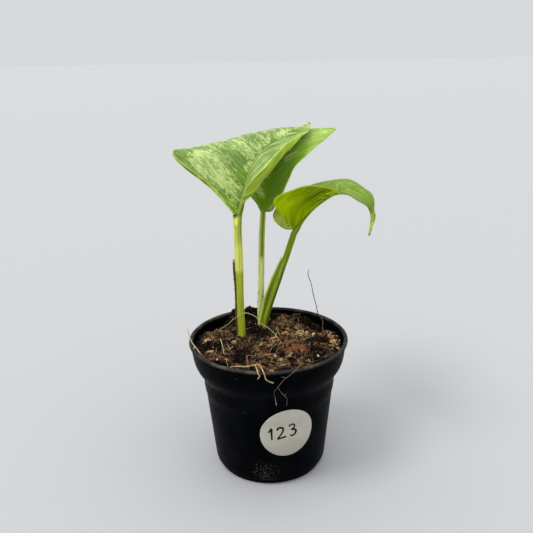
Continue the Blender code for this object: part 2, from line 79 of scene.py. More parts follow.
class Tone(Enum):
    """What is painted in a patch on a leaf, a stalk or the soil, light and shade included, and the attribute
    that carries it.
    """
    CREAM = "cream"
    PALE = "pale"
    # vivid green on an upper side, and the painted light of the lit green on an underside
    VIVID = "vivid"
    # darker: dark lines and stretches, and painted shade in the soil's hollows, next to the pot's wall and
    # on the left stalk's shaded side
    DUSKY = "dusky"
    RIB = "rib"
    RUST = "rust"
    # tan soil, and painted light on the crests of the soil's lumps
    TAN = "tan"
    TINT = "tint"


# general helpers


def screen(red: int, green: int, blue: int) -> Colour:
    """Turns a colour of 0 to 255 per channel into the linear colour that a shader takes."""
    return tuple(((part / 255 + 0.055) / 1.055) ** 2.4 for part in (red, green, blue))


def smooth(points: Sequence, along: np.ndarray) -> np.ndarray:
    """Reads a smooth curve through points.

    Args:
        points: the guide points or guide values.
        along: places on the curve, from 0, the first point, to 1, the last.

    Returns:
        The curve's point or value at each place.
    """
    points = np.asarray(points, float)
    last = len(points) - 1
    guides = np.concatenate([[2 * points[0] - points[1]], points, [2 * points[-1] - points[-2]]])
    place = np.clip(np.asarray(along, float), 0, 1) * last
    step = np.minimum(place.astype(int), last - 1)
    part = place - step
    if points.ndim > 1:
        part = part[:, None]
    before, start, end, after = guides[step], guides[step + 1], guides[step + 2], guides[step + 3]
    return 0.5 * (2 * start + (end - before) * part
                  + (2 * before - 5 * start + 4 * end - after) * part ** 2
                  + (3 * start - before - 3 * end + after) * part ** 3)


def unit(vectors: np.ndarray) -> np.ndarray:
    """Scales each vector to length 1."""
    return vectors / np.maximum(np.linalg.norm(vectors, axis=-1, keepdims=True), 1e-9)


def run(points: Sequence[Point]) -> float:
    """The length of a line through points."""
    return np.linalg.norm(np.diff(np.array(points, float), axis=0), axis=1).sum()


def ramp(values: Values, low: float, high: float) -> np.ndarray:
    """Rises smoothly from 0 at low to 1 at high."""
    part = np.clip((np.asarray(values, float) - low) / (high - low), 0, 1)
    return part * part * (3 - 2 * part)


def ripple(points: np.ndarray, size: float, seed: float) -> np.ndarray:
    """Reads smooth noise of about -1 to 1 at points, with lumps of the given size."""
    return np.array([noise.noise(Vector((x / size + seed, y / size - seed, z / size + 3 * seed)))
                     for x, y, z in points])


def crumble(points: np.ndarray, size: float, seed: float, octaves: int) -> np.ndarray:
    """Reads rough noise of about -1 to 1 at points, with finer lumps on the lumps."""
    return np.array([noise.fractal(Vector((x / size + seed, y / size - seed, z / size)), 0.8, 2.1, octaves)
                     for x, y, z in points])


def take(item: bpy.types.Object) -> None:
    """Makes a piece the only selected one."""
    bpy.ops.object.select_all(action="DESELECT")
    item.select_set(True)
    bpy.context.view_layer.objects.active = item


def named(name: str) -> bpy.types.Object:
    """Names the active object and its mesh."""
    item = bpy.context.object
    item.name = name
    item.data.name = name
    return item


def primitive(name: str, add: Callable, **settings: object) -> bpy.types.Object:
    """Adds a primitive with nothing else selected, and names it."""
    bpy.ops.object.select_all(action="DESELECT")
    add(**{"location": (0, 0, 0), **settings})
    return named(name)


def linked(name: str, data: bpy.types.ID) -> bpy.types.Object:
    """Puts an object with the given data into the scene."""
    item = bpy.data.objects.new(name, data)
    bpy.context.scene.collection.objects.link(item)
    return item


def read_points(item: bpy.types.Object) -> np.ndarray:
    """Reads a mesh's vertices in millimetres."""
    flat = np.empty(len(item.data.vertices) * 3)
    item.data.vertices.foreach_get("co", flat)
    return flat.reshape(-1, 3) / MM


def write_points(item: bpy.types.Object, points: np.ndarray) -> None:
    """Places a mesh's vertices, given in millimetres."""
    item.data.vertices.foreach_set("co", (np.asarray(points) * MM).ravel())
    item.data.update()


def apply_modifier(item: bpy.types.Object, kind: str, **settings: object) -> None:
    """Adds a modifier to a piece and applies it."""
    step = item.modifiers.new(kind.lower(), kind)
    for name, value in settings.items():
        setattr(step, name, value)
    take(item)
    bpy.ops.object.modifier_apply(modifier=step.name)


def weld(item: bpy.types.Object) -> None:
    """Merges the doubles of a closed mesh and turns its faces outwards."""
    take(item)
    bpy.ops.object.mode_set(mode="EDIT")
    bpy.ops.mesh.select_all(action="SELECT")
    bpy.ops.mesh.remove_doubles(threshold=0.001 * MM)
    bpy.ops.mesh.normals_make_consistent(inside=False)
    bpy.ops.object.mode_set(mode="OBJECT")


def shade(item: bpy.types.Object, degrees: float = 40) -> None:
    """Shades a piece smooth, apart from edges sharper than an angle."""
    take(item)
    bpy.ops.object.shade_smooth_by_angle(angle=math.radians(degrees))


def join(name: str, parts: list[bpy.types.Object]) -> bpy.types.Object:
    """Joins parts into the first of them, and names it."""
    bpy.ops.object.select_all(action="DESELECT")
    for part in parts:
        part.select_set(True)
    bpy.context.view_layer.objects.active = parts[0]
    if len(parts) > 1:
        bpy.ops.object.join()
    return named(name)


def dress(item: bpy.types.Object, *finishes: "Finish") -> None:
    """Gives a piece its finishes, in the order of its faces' material numbers."""
    for finish in finishes:
        item.data.materials.append(finish.material())


def settle(item: bpy.types.Object, slot: Slot, *nodes: str) -> None:
    """Has a finished piece ride with the plant.

    Args:
        item: the piece.
        slot: the record's slot that its finish comes from; not used.
        nodes: the CAD nodes that it stands for.
    """
    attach(item, "root")
    if nodes:
        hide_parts(*nodes)
    log.info("%s: %d faces", item.name, len(item.data.polygons))


def paint_mask(mesh: bpy.types.Mesh, tone: Tone, values: np.ndarray) -> None:
    """Writes a tone's attribute from a value at each vertex."""
    layer = mesh.attributes.new(tone.value, "FLOAT", "POINT")
    layer.data.foreach_set("value", values.astype(np.float32))


class Sheet:
    """A flat grid that a formula shapes: along runs from 0 to 1, and across from -1 to 1."""

    def __init__(self, name: str, rows: int, columns: int) -> None:
        self.item = primitive(name, bpy.ops.mesh.primitive_grid_add, x_subdivisions=rows,
                              y_subdivisions=columns, size=2, calc_uvs=False)
        flat = read_points(self.item) * MM
        self.along = (flat[:, 0] + 1) / 2
        self.across = -flat[:, 1]
        self.row = np.round(self.along * (len(np.unique(np.round(self.along, 6))) - 1)).astype(int)

    def place(self, points: np.ndarray) -> None:
        """Moves the grid's vertices to their places in millimetres."""
        write_points(self.item, points)

    def lay(self, name: str, first: np.ndarray, second: np.ndarray) -> None:
        """Writes a UV map from two values at each vertex."""
        layer = self.item.data.uv_layers.new(name=name)
        corner = np.empty(len(self.item.data.loops), int)
        self.item.data.loops.foreach_get("vertex_index", corner)
        layer.uv.foreach_set("vector", np.stack([first, second], 1)[corner].astype(np.float32).ravel())

    def paint(self, tone: Tone, values: Values) -> None:
        """Writes a mask from a value at each vertex, or one for all."""
        paint_mask(self.item.data, tone, np.clip(values + np.zeros(len(self.along)), 0, 1))


class Tube(Sheet):
    """A round stem along a smooth line. Turn 0 faces the viewer, and it is closed at both ends."""

    def __init__(self, name: str, line: Sequence[Point], radii: Sequence[float], rings: int,
                 sides: int) -> None:
        super().__init__(name, rings, sides)
        stations = np.linspace(0, 1, self.row.max() + 1)
        self.centre = smooth(line, stations)
        self.ahead = unit(np.gradient(self.centre, axis=0))
        self.front = self.carried_front()
        self.right = unit(np.cross(self.front, self.ahead)) * -1
        steps = np.linalg.norm(np.diff(self.centre, axis=0), axis=1)
        self.length = np.concatenate([[0], np.cumsum(steps)])
        self.radius = smooth(radii, stations)
        self.radius[[0, -1]] = 0
        self.turn = math.pi * self.across

    def carried_front(self) -> np.ndarray:
        """Carries the direction that faces the viewer along the line without a twist."""
        front = np.array([0.0, -1.0, 0.0])
        if abs(self.ahead[0] @ front) > 0.9:
            front = np.array([1.0, 0.0, 0.0])
        found = []
        for ahead in self.ahead:
            front = front - ahead * (ahead @ front)
            front = front / np.linalg.norm(front)
            found.append(front)
        return np.array(found)

    def outward(self) -> np.ndarray:
        """The direction from the line to each vertex."""
        return (self.front[self.row] * np.cos(self.turn)[:, None]
                + self.right[self.row] * np.sin(self.turn)[:, None])

    def wrap(self, swell: Values = 0.0) -> None:
        """Wraps the grid round the line.

        Args:
            swell: millimetres to add to the radius at each vertex.
        """
        reach = self.radius[self.row]
        reach = np.where(reach > 0, np.maximum(reach + swell, 0.02), 0)
        self.place(self.centre[self.row] + self.outward() * reach[:, None])
        self.lay("flow", self.length[self.row] / 10, self.turn * self.radius.max() / 10)

    def finish(self) -> bpy.types.Object:
        """Closes the seam and the ends."""
        weld(self.item)
        shade(self.item, 60)
        return self.item


class Wiring:
    """Adds nodes to one node tree and joins them up."""

    def __init__(self, tree: bpy.types.NodeTree) -> None:
        self.tree = tree

    def feed(self, target: Socket, value: Feed) -> None:
        """Links a socket to a node's input, or sets a plain value on it."""
        if isinstance(value, bpy.types.NodeSocket):
            self.tree.links.new(value, target)
        elif target.type == "RGBA" and len(value) == 3:
            target.default_value = (*value, 1.0)
        else:
            target.default_value = value

    def node(self, kind: str, feeds: dict[Union[str, int], Feed], **settings: object) -> bpy.types.Node:
        """Adds a node.

        Args:
            kind: the node's type.
            feeds: what goes into its inputs, by name or number.
            settings: the node's own options.

        Returns:
            The node.
        """
        made = self.tree.nodes.new(kind)
        for name, value in settings.items():
            setattr(made, name, value)
        for name, value in feeds.items():
            self.feed(made.inputs[name], value)
        return made

    def calc(self, operation: str, *values: Feed) -> Socket:
        """Adds a sum of one, two or three values."""
        return self.node("ShaderNodeMath", dict(enumerate(values)), operation=operation).outputs[0]

    def step(self, value: Feed, low: Feed, high: Feed, start: Feed = 0.0, end: Feed = 1.0) -> Socket:
        """Adds a smooth rise from start to end while the value goes from low to high."""
        feeds = {"Value": value, "From Min": low, "From Max": high, "To Min": start, "To Max": end}
        return self.node("ShaderNodeMapRange", feeds, interpolation_type="SMOOTHSTEP").outputs[0]

    def mix(self, mask: Feed, first: Feed, second: Feed) -> Socket:
        """Adds a mix of two colours by a mask."""
        return self.node("ShaderNodeMix", {0: mask, 6: first, 7: second}, data_type="RGBA").outputs[2]

    def layered(self, colour: Feed, *layers: tuple) -> Socket:
        """Lays colours over a first one, each as (mask, colour) or (mask, colour, share of the mask)."""
        for mask, over, *share in layers:
            colour = self.mix(self.calc("MULTIPLY", mask, *share) if share else mask, colour, over)
        return colour

    def stretch(self, vector: Feed, scale: Point, shift: Point = (0, 0, 0)) -> Socket:
        """Adds a mapping that scales a pattern along each axis."""
        feeds = {"Vector": vector, "Scale": scale, "Location": shift}
        return self.node("ShaderNodeMapping", feeds).outputs[0]

    def noise(self, vector: Feed, scale: Feed, detail: float = 3.0, roughness: float = 0.5,
              warp: float = 0.0) -> Socket:
        """Adds a noise pattern of about 0.25 to 0.75."""
        feeds = {"Vector": vector, "Scale": scale, "Detail": detail, "Roughness": roughness,
                 "Distortion": warp}
        return self.node("ShaderNodeTexNoise", feeds).outputs[0]

    def mask(self, tone: Tone) -> Socket:
        """Reads a mask that is painted on the piece."""
        return self.node("ShaderNodeAttribute", {}, attribute_name=tone.value).outputs["Fac"]

    def flow(self) -> Socket:
        """Reads the map that follows the piece's growth, in centimetres."""
        return self.node("ShaderNodeUVMap", {}, uv_map="flow").outputs[0]

    def object_place(self) -> Socket:
        """Reads the place on the object in metres."""
        return self.node("ShaderNodeTexCoord", {}).outputs["Object"]

    def height(self, place: Feed) -> Socket:
        """Reads the upright part of a place."""
        return self.node("ShaderNodeSeparateXYZ", {0: place}).outputs[2]

    def group(self, tree: bpy.types.NodeTree, place: Feed, **feeds: Feed) -> Socket:
        """Adds a shared effect, at a place and with its own values."""
        made = self.tree.nodes.new("ShaderNodeGroup")
        made.node_tree = tree
        for name, value in {"Vector": place, **feeds}.items():
            self.feed(made.inputs[name], value)
        return made.outputs[0]


class Effects:
    """The effects that several finishes share, each built once as a node group."""

    @staticmethod
    def start(name: str, output: str, **inputs: float) -> tuple[Wiring, Socket, Socket]:
        """Starts a node group that takes a vector and numbers and gives one number.

        Args:
            name: the group's name.
            output: the result's name.
            inputs: each number's name and usual value.

        Returns:
            The group's wiring, the group's inputs, and the input of its result.
        """
        tree = bpy.data.node_groups.new(name, "ShaderNodeTree")
        tree.interface.new_socket(name="Vector", in_out="INPUT", socket_type="NodeSocketVector")
        for label, value in inputs.items():
            made = tree.interface.new_socket(name=label, in_out="INPUT", socket_type="NodeSocketFloat")
            made.default_value = value
        tree.interface.new_socket(name=output, in_out="OUTPUT", socket_type="NodeSocketFloat")
        entry = tree.nodes.new("NodeGroupInput")
        result = tree.nodes.new("NodeGroupOutput")
        return Wiring(tree), entry.outputs, result.inputs[0]

    @staticmethod
    def drawn_out(wiring: Wiring, entry: Socket) -> Socket:
        """Stretches a pattern along its second coordinate, and moves it to its seed."""
        parts = wiring.node("ShaderNodeSeparateXYZ", {0: entry["Vector"]}).outputs
        drawn = wiring.calc("DIVIDE", parts[1], entry["Stretch"])
        return wiring.node("ShaderNodeCombineXYZ", {0: parts[0], 1: drawn, 2: entry["Seed"]}).outputs[0]

    @classmethod
    @cache
    def marbling(cls) -> bpy.types.NodeTree:
        """Jagged patches, drawn out along the veins: none at an amount of 0.1 and few gaps at 0.9."""
        wiring, entry, result = cls.start("marbling", "Mask", Amount=0.5, Scale=6.0, Stretch=2.0,
                                          Softness=0.1, Seed=0.0)
        moved = cls.drawn_out(wiring, entry)
        broad = wiring.noise(moved, entry["Scale"], 2.0, 0.5, 0.6)
        finer = wiring.calc("MULTIPLY", entry["Scale"], 3.4)
        flecks = wiring.noise(moved, finer, 6.0, 0.72, 0.9)
        cloud = wiring.calc("MULTIPLY_ADD", flecks, 3.4, wiring.calc("MULTIPLY_ADD", broad, 1.7, -3.3))
        level = wiring.calc("MULTIPLY_ADD", entry["Amount"], 1.4, cloud)
        wiring.feed(result, wiring.step(level, 0.0, entry["Softness"]))
        return wiring.tree

    @classmethod
    @cache
    def streaks(cls) -> bpy.types.NodeTree:
        """Thin lines that run where the first coordinate stays the same."""
        wiring, entry, result = cls.start("streaks", "Mask", Scale=10.0, Stretch=8.0, Level=0.5,
                                          Softness=0.1, Seed=0.0)
        cloud = wiring.noise(cls.drawn_out(wiring, entry), entry["Scale"], 3.0, 0.55, 0.1)
        low = wiring.calc("SUBTRACT", entry["Level"], entry["Softness"])
        high = wiring.calc("ADD", entry["Level"], entry["Softness"])
        wiring.feed(result, wiring.step(cloud, low, high))
        return wiring.tree

    @classmethod
    @cache
    def specks(cls) -> bpy.types.NodeTree:
        """Small separate spots, more of them as the density grows."""
        wiring, entry, result = cls.start("specks", "Mask", Scale=800.0, Density=0.1, Size=0.25)
        cells = wiring.node("ShaderNodeTexVoronoi", {"Vector": entry["Vector"], "Scale": entry["Scale"]})
        near = wiring.step(cells.outputs["Distance"], entry["Size"], 0.0)
        pick = wiring.node("ShaderNodeSeparateColor", {0: cells.outputs["Color"]}).outputs[0]
        chosen = wiring.calc("LESS_THAN", pick, entry["Density"])
        wiring.feed(result, wiring.calc("MULTIPLY", near, chosen))
        return wiring.tree

    @classmethod
    @cache
    def grain(cls) -> bpy.types.NodeTree:
        """A fine rough height with coarser lumps under it."""
        wiring, entry, result = cls.start("grain", "Height", Scale=1000.0, Coarse=0.3)
        fine = wiring.noise(entry["Vector"], entry["Scale"], 4.0, 0.6)
        slow = wiring.calc("MULTIPLY", entry["Scale"], 0.2)
        lumps = wiring.noise(entry["Vector"], slow, 2.0, 0.5)
        wiring.feed(result, wiring.calc("MULTIPLY_ADD", lumps, entry["Coarse"], fine))
        return wiring.tree


@dataclass(frozen=True, kw_only=True)
class Finish:
    """A named material with one Principled shader. Relief and the glow's depth are in millimetres."""
    name: str
    shine: float = 0.5
    relief: float = 0.0
    glow: float = 0.0
    glow_radius: Point = (0.7, 1.0, 0.1)
    glow_depth: float = 0.3

    @cache
    def material(self) -> bpy.types.Material:
        """Makes the material, once."""
        made = bpy.data.materials.new(self.name)
        made.use_nodes = True
        wiring = Wiring(made.node_tree)
        colour, roughness, height = self.wire(wiring)
        feeds = {"Base Color": colour, "Roughness": roughness, "Specular IOR Level": self.shine}
        if self.relief:
            bump = {"Height": height, "Distance": self.relief * MM, "Strength": 1.0}
            feeds["Normal"] = wiring.node("ShaderNodeBump", bump).outputs[0]
        if self.glow:
            feeds["Subsurface Weight"] = self.glow
            feeds["Subsurface Radius"] = self.glow_radius
            feeds["Subsurface Scale"] = self.glow_depth * MM
        shader = made.node_tree.nodes["Principled BSDF"]
        for name, value in feeds.items():
            wiring.feed(shader.inputs[name], value)
        return made

    def wire(self, wiring: Wiring) -> Surface:
        """Wires up the colour, the roughness and, where there is relief, the height."""
        raise NotImplementedError


@dataclass(frozen=True, kw_only=True)
class PlasticFinish(Finish):
    """Moulded black plastic, scuffed and dusty, with a painted highlight on its lip and soil smeared near
    the foot.
    """
    name: str = "moulded_plastic"
    shine: float = 0.015
    relief: float = 0.02
    colour: Colour = (0.0007, 0.0010, 0.0016)
    worn: Colour = (0.0024, 0.0027, 0.0035)
    # lip is a painted highlight along the top of the rim; lip_dust is brown dust on it.
    lip: Colour = (0.026, 0.026, 0.025)
    lip_dust: Colour = (0.080, 0.066, 0.050)
    lip_highlight_foot: float = 63.6
    lip_highlight_top: float = 64.7
    dust: Colour = (0.12, 0.11, 0.10)
    smear: Colour = (0.21, 0.19, 0.16)
    smear_place: Point = (-3.0, -27.0, 7.0)
    smear_size: float = 13.0

    def wire(self, wiring: Wiring) -> Surface:
        """Wires scuffs, the painted highlight on the lip, dust and a smear of soil over the black."""
        place = wiring.object_place()
        cloud = wiring.noise(place, 90.0, 4.0, 0.6)
        # Painted highlight: the top of the rim is painted lighter grey, with patches of brown dust.
        painted_lip_highlight = wiring.step(wiring.height(place), self.lip_highlight_foot * MM, self.lip_highlight_top * MM)
        lip_highlight_and_dust = wiring.mix(wiring.step(cloud, 0.45, 0.6), self.lip, self.lip_dust)
        dust = wiring.group(Effects.specks(), place, Scale=700.0, Density=0.035, Size=0.3)
        centred = wiring.stretch(place, (1 / MM,) * 3, tuple(-part for part in self.smear_place))
        far = wiring.node("ShaderNodeVectorMath", {0: centred}, operation="LENGTH").outputs["Value"]
        near = wiring.step(far, self.smear_size, 2.0)
        flecks = wiring.noise(wiring.stretch(place, (1.0, 1.0, 1.8)), 1300.0, 3.0, 0.75)
        smear = wiring.step(wiring.calc("MULTIPLY_ADD", near, 0.16, flecks), 0.73, 0.80)
        rubbed = wiring.step(cloud, 0.42, 0.72)
        colour = wiring.layered(self.colour, (rubbed, self.worn), (painted_lip_highlight, lip_highlight_and_dust),
                                (dust, self.dust, 0.4), (smear, self.smear, 0.7))
        fine = wiring.noise(place, 600.0, 2.0, 0.5)
        height = wiring.group(Effects.grain(), place, Scale=1500.0, Coarse=0.8)
        return colour, wiring.step(fine, 0.2, 0.8, 0.34, 0.46), height


@dataclass(frozen=True, kw_only=True)
class PaperFinish(Finish):
    """Matt off-white label paper, a little greyed and fibrous, with painted shade darkening it low down."""
    name: str = "label_card"
    relief: float = 0.03
    colour: Colour = (0.475, 0.455, 0.385)
    grey: Colour = (0.435, 0.415, 0.350)
    # low is painted shade: the paper is painted darker towards the bottom of the label.
    low: Colour = (0.360, 0.340, 0.280)
    shade_top: float = 30.0
    shade_foot: float = 16.0
    mark: Colour = (0.35, 0.315, 0.26)

    def wire(self, wiring: Wiring) -> Surface:
        """Wires the paper's clouding, fibres and a few marks."""
        place = wiring.object_place()
        cloud = wiring.step(wiring.noise(place, 160.0, 4.0, 0.6), 0.35, 0.7)
        # Painted shade: the paper darkens towards the bottom of the label.
        low = wiring.step(wiring.height(place), self.shade_top * MM, self.shade_foot * MM)
        marks = wiring.group(Effects.specks(), place, Scale=420.0, Density=0.04, Size=0.2)
        colour = wiring.layered(self.colour, (cloud, self.grey), (low, self.low), (marks, self.mark, 0.4))
        height = wiring.group(Effects.grain(), place, Scale=2500.0, Coarse=0.4)
        return colour, wiring.step(cloud, 0.0, 1.0, 0.5, 0.62), height


@dataclass(frozen=True, kw_only=True)
class InkFinish(Finish):
    """Black felt-pen ink that thins where the pen moved fast."""
    name: str = "pen_ink"
    shine: float = 0.15
    colour: Colour = (0.0035, 0.0035, 0.0045)
    thin: Colour = (0.016, 0.015, 0.016)

    def wire(self, wiring: Wiring) -> Surface:
        """Wires the ink's uneven density."""
        density = wiring.step(wiring.noise(wiring.object_place(), 900.0, 3.0, 0.6), 0.45, 0.75)
        return wiring.mix(density, self.colour, self.thin), wiring.step(density, 0.0, 1.0, 0.42, 0.6), None


@dataclass(frozen=True, kw_only=True)
class SoilFinish(Finish):
    """Peaty potting soil: near-black crumbs, brown fibre, and rusty and tan stretches."""
    name: str = "soil_mix"
    shine: float = 0.1
    relief: float = 0.45
    dark: Colour = (0.0035, 0.0022, 0.0014)
    brown: Colour = (0.112, 0.060, 0.027)
    grey: Colour = (0.175, 0.125, 0.078)
    tan: Colour = (0.33, 0.20, 0.090)
    rust: Colour = (0.200, 0.066, 0.026)
    scale: float = 420.0

    def wire(self, wiring: Wiring) -> Surface:
        """Wires the soil's mixed colours and its crumbly relief."""
        place = wiring.object_place()
        # The dusky mask darkens the soil and carries painted shade in its hollows and next to the wall; the
        # tan mask also carries painted light on the crests.
        dusk, tan, rust = (wiring.mask(tone) for tone in (Tone.DUSKY, Tone.TAN, Tone.RUST))
        lumps = wiring.noise(place, self.scale * 0.55, 5.0, 0.7, 0.3)
        ash = wiring.noise(wiring.stretch(place, (1, 1, 1), (0.3, 0.1, 0.2)), self.scale * 1.3, 5.0, 0.7)
        grit = wiring.noise(wiring.stretch(place, (1, 1, 1), (0.7, 0.4, 0.9)), self.scale * 2.1, 4.0, 0.75)
        layers = []
        for mask, share, pattern, low, high, colour in (
                (dusk, -0.17, lumps, 0.42, 0.62, self.brown), (dusk, -0.12, ash, 0.57, 0.72, self.grey),
                (tan, 0.16, grit, 0.63, 0.74, self.tan), (rust, 0.34, grit, 0.64, 0.84, self.rust)):
            level = wiring.calc("MULTIPLY_ADD", mask, share, pattern)
            layers.append((wiring.step(level, low, high), colour))
        height = wiring.group(Effects.grain(), place, Scale=self.scale * 2.4, Coarse=1.2)
        return wiring.layered(self.dark, *layers), wiring.step(ash, 0.3, 0.7, 0.95, 0.7), height


@dataclass(frozen=True, kw_only=True)
class ScatterFinish(Finish):
    """Loose crumbs, chips or fibres whose tint runs through three colours, with a fine grain."""
    tints: tuple[Colour, Colour, Colour]
    grain_scale: float = 1400.0
    roughness: float = 0.9
    shine: float = 0.1
    relief: float = 0.12

    def wire(self, wiring: Wiring) -> Surface:
        """Wires the tint of each copy and the grain."""
        place = wiring.object_place()
        tint = wiring.mask(Tone.TINT)
        first, second, third = self.tints
        colour = wiring.layered(first, (wiring.step(tint, 0.0, 0.5), second),
                                (wiring.step(tint, 0.5, 1.0), third))
        mottle = wiring.step(wiring.noise(place, self.grain_scale * 0.6, 4.0, 0.65), 0.3, 0.7, 0.55, 1.35)
        feeds = {0: colour, "Scale": mottle}
        shaded = wiring.node("ShaderNodeVectorMath", feeds, operation="SCALE").outputs[0]
        roughness = wiring.step(mottle, 0.5, 1.4, self.roughness, self.roughness - 0.2)
        return shaded, roughness, wiring.group(Effects.grain(), place, Scale=self.grain_scale, Coarse=0.6)


@dataclass(frozen=True, kw_only=True)
class LeafFinish(Finish):
    """The upper side of a leaf: green, hazy grey-green and cream marbling that follows the veins, under a
    painted milky sheen.
    """
    deep: Colour
    vivid: Colour
    haze: Colour
    cream: Colour
    rib: Colour
    fleck_scale: float = 3.6
    fleck_stretch: float = 2.0
    sheen_strength: float = 0.35
    vein_light: float = 0.3
    vein_scale: float = 12.0
    vein_softness: float = 0.08
    roughness: float = 0.4
    shine: float = 0.22
    relief: float = 0.06
    glow: float = 0.2

    def wire(self, wiring: Wiring) -> Surface:
        """Wires the marbling, the painted sheen, the vein lines and the leaf's fine relief."""
        flow = wiring.flow()
        uneven = wiring.group(Effects.streaks(), flow, Scale=7.0, Stretch=4.0, Level=0.52, Softness=0.2,
                              Seed=4.0)
        # Painted sheen: a soft milky haze over the green, strongest where the pale marbling is.
        painted_sheen = wiring.step(wiring.noise(flow, 9.0, 5.0, 0.7), 0.4, 0.7)
        sheen_share = wiring.calc("MULTIPLY_ADD", wiring.mask(Tone.PALE), self.sheen_strength, 0.03)
        pale, cream = (
            wiring.group(Effects.marbling(), flow, Amount=wiring.mask(tone), Scale=self.fleck_scale * share,
                         Stretch=self.fleck_stretch, Softness=softness, Seed=seed)
            for tone, share, softness, seed in ((Tone.PALE, 0.9, 0.08, 7.0), (Tone.CREAM, 1.0, 0.04, 1.0)))
        dappled = wiring.step(wiring.noise(flow, 22.0, 3.0, 0.6), 0.35, 0.65, 0.55, 0.95)
        veins = wiring.group(Effects.streaks(), flow, Scale=self.vein_scale, Stretch=16.0, Level=0.58,
                             Softness=self.vein_softness, Seed=2.0)
        vivid, dusky, rib = (wiring.mask(tone) for tone in (Tone.VIVID, Tone.DUSKY, Tone.RIB))
        colour = wiring.layered(
            self.deep, (vivid, self.vivid), (uneven, self.vivid, 0.3), (painted_sheen, self.haze, sheen_share),
            (pale, self.haze, dappled), (cream, self.cream, 0.95), (veins, self.haze, self.vein_light),
            (dusky, self.deep, 0.85), (rib, self.rib))
        cloud = wiring.noise(flow, 6.0, 3.0, 0.5)
        roughness = wiring.step(cloud, 0.3, 0.7, self.roughness, self.roughness + 0.1)
        fine = wiring.noise(wiring.stretch(flow, (1, 0.35, 1)), 30.0, 3.0, 0.6)
        return colour, roughness, wiring.calc("MULTIPLY_ADD", veins, 0.7, fine)


@dataclass(frozen=True, kw_only=True)
class UndersideFinish(Finish):
    """The underside of a leaf with some light coming through; its shaded and lit greens are painted shade
    and painted light, and it has pale vein streaks.
    """
    # shade and lit are the same underside green, painted in shade and painted lit where light comes through.
    shade: Colour
    lit: Colour
    streak: Colour
    streak_share: float = 0.5
    patch_share: float = 0.7
    vein_scale: float = 12.0
    shine: float = 0.0
    relief: float = 0.08
    glow: float = 0.6
    glow_depth: float = 0.8

    def wire(self, wiring: Wiring) -> Surface:
        """Wires the painted shaded and lit greens and the streaks along the veins."""
        flow = wiring.flow()
        broad, veins, dark = (
            wiring.group(Effects.streaks(), flow, Scale=scale, Stretch=stretch, Level=level,
                         Softness=softness, Seed=seed)
            for scale, stretch, level, softness, seed in (
                (3.5, 5.0, 0.52, 0.12, 3.0), (self.vein_scale, 16.0, 0.56, 0.07, 2.0),
                (9.0, 12.0, 0.54, 0.08, 9.0)))
        cream, vivid, rib = (wiring.mask(tone) for tone in (Tone.CREAM, Tone.VIVID, Tone.RIB))
        patches = wiring.group(Effects.marbling(), flow, Amount=cream, Scale=2.4, Stretch=2.2, Softness=0.2,
                               Seed=11.0)
        specks = wiring.group(Effects.specks(), flow, Scale=6.0, Density=0.05, Size=0.1)
        # Painted light: the lit green goes where the vivid mask is and in broad streaks, over the shaded
        # green.
        colour = wiring.layered(
            self.shade, (vivid, self.lit), (broad, self.lit, 0.4), (patches, self.streak, self.patch_share),
            (veins, self.streak, self.streak_share), (dark, self.shade, self.streak_share),
            (specks, self.shade, 0.5), (rib, self.streak))
        fine = wiring.noise(wiring.stretch(flow, (1, 0.3, 1)), 26.0, 3.0, 0.6)
        height = wiring.calc("MULTIPLY_ADD", veins, 0.8, fine)
        return colour, wiring.step(broad, 0.0, 1.0, 0.5, 0.42), height


@dataclass(frozen=True, kw_only=True)
class StalkFinish(Finish):
    """A juicy stalk with fibre lines, paler stretches and a few dark specks."""
    green: Colour
    pale: Colour
    line: Colour
    speck: Colour = (0.020, 0.016, 0.006)
    shine: float = 0.15
    relief: float = 0.06
    glow: float = 0.3
    glow_radius: Point = (0.8, 1.0, 0.25)
    glow_depth: float = 1.2

    def wire(self, wiring: Wiring) -> Surface:
        """Wires the stalk's two greens, its fibre lines and specks."""
        flow = wiring.flow()
        feeds = {"Vector": flow, "Rotation": (0, 0, math.pi / 2)}
        turned = wiring.node("ShaderNodeMapping", feeds).outputs[0]
        fibres = wiring.group(Effects.streaks(), turned, Scale=16.0, Stretch=22.0, Level=0.52, Softness=0.1,
                              Seed=5.0)
        specks = wiring.group(Effects.specks(), flow, Scale=9.0, Density=0.03, Size=0.16)
        spots = wiring.calc("MAXIMUM", specks, wiring.mask(Tone.RUST))
        colour = wiring.layered(self.green, (wiring.mask(Tone.PALE), self.pale), (fibres, self.line, 0.4),
                                (wiring.mask(Tone.DUSKY), self.line), (spots, self.speck))
        return colour, wiring.step(fibres, 0.0, 1.0, 0.34, 0.46), fibres


@dataclass(frozen=True, kw_only=True)
class RootFinish(Finish):
    """A dry root: one colour that fades along it, with darker nodes and fibre lines."""
    colour: Colour
    dark: Colour
    tip: Colour
    relief: float = 0.08

    def wire(self, wiring: Wiring) -> Surface:
        """Wires the root's blotches and its pale tips."""
        flow = wiring.flow()
        blotch = wiring.step(wiring.noise(flow, 6.0, 4.0, 0.6), 0.42, 0.62)
        colour = wiring.layered(self.colour, (blotch, self.dark), (wiring.mask(Tone.PALE), self.tip))
        height = wiring.noise(wiring.stretch(flow, (0.4, 3, 1)), 30.0, 3.0, 0.6)
        return colour, wiring.step(blotch, 0.0, 1.0, 0.6, 0.85), height


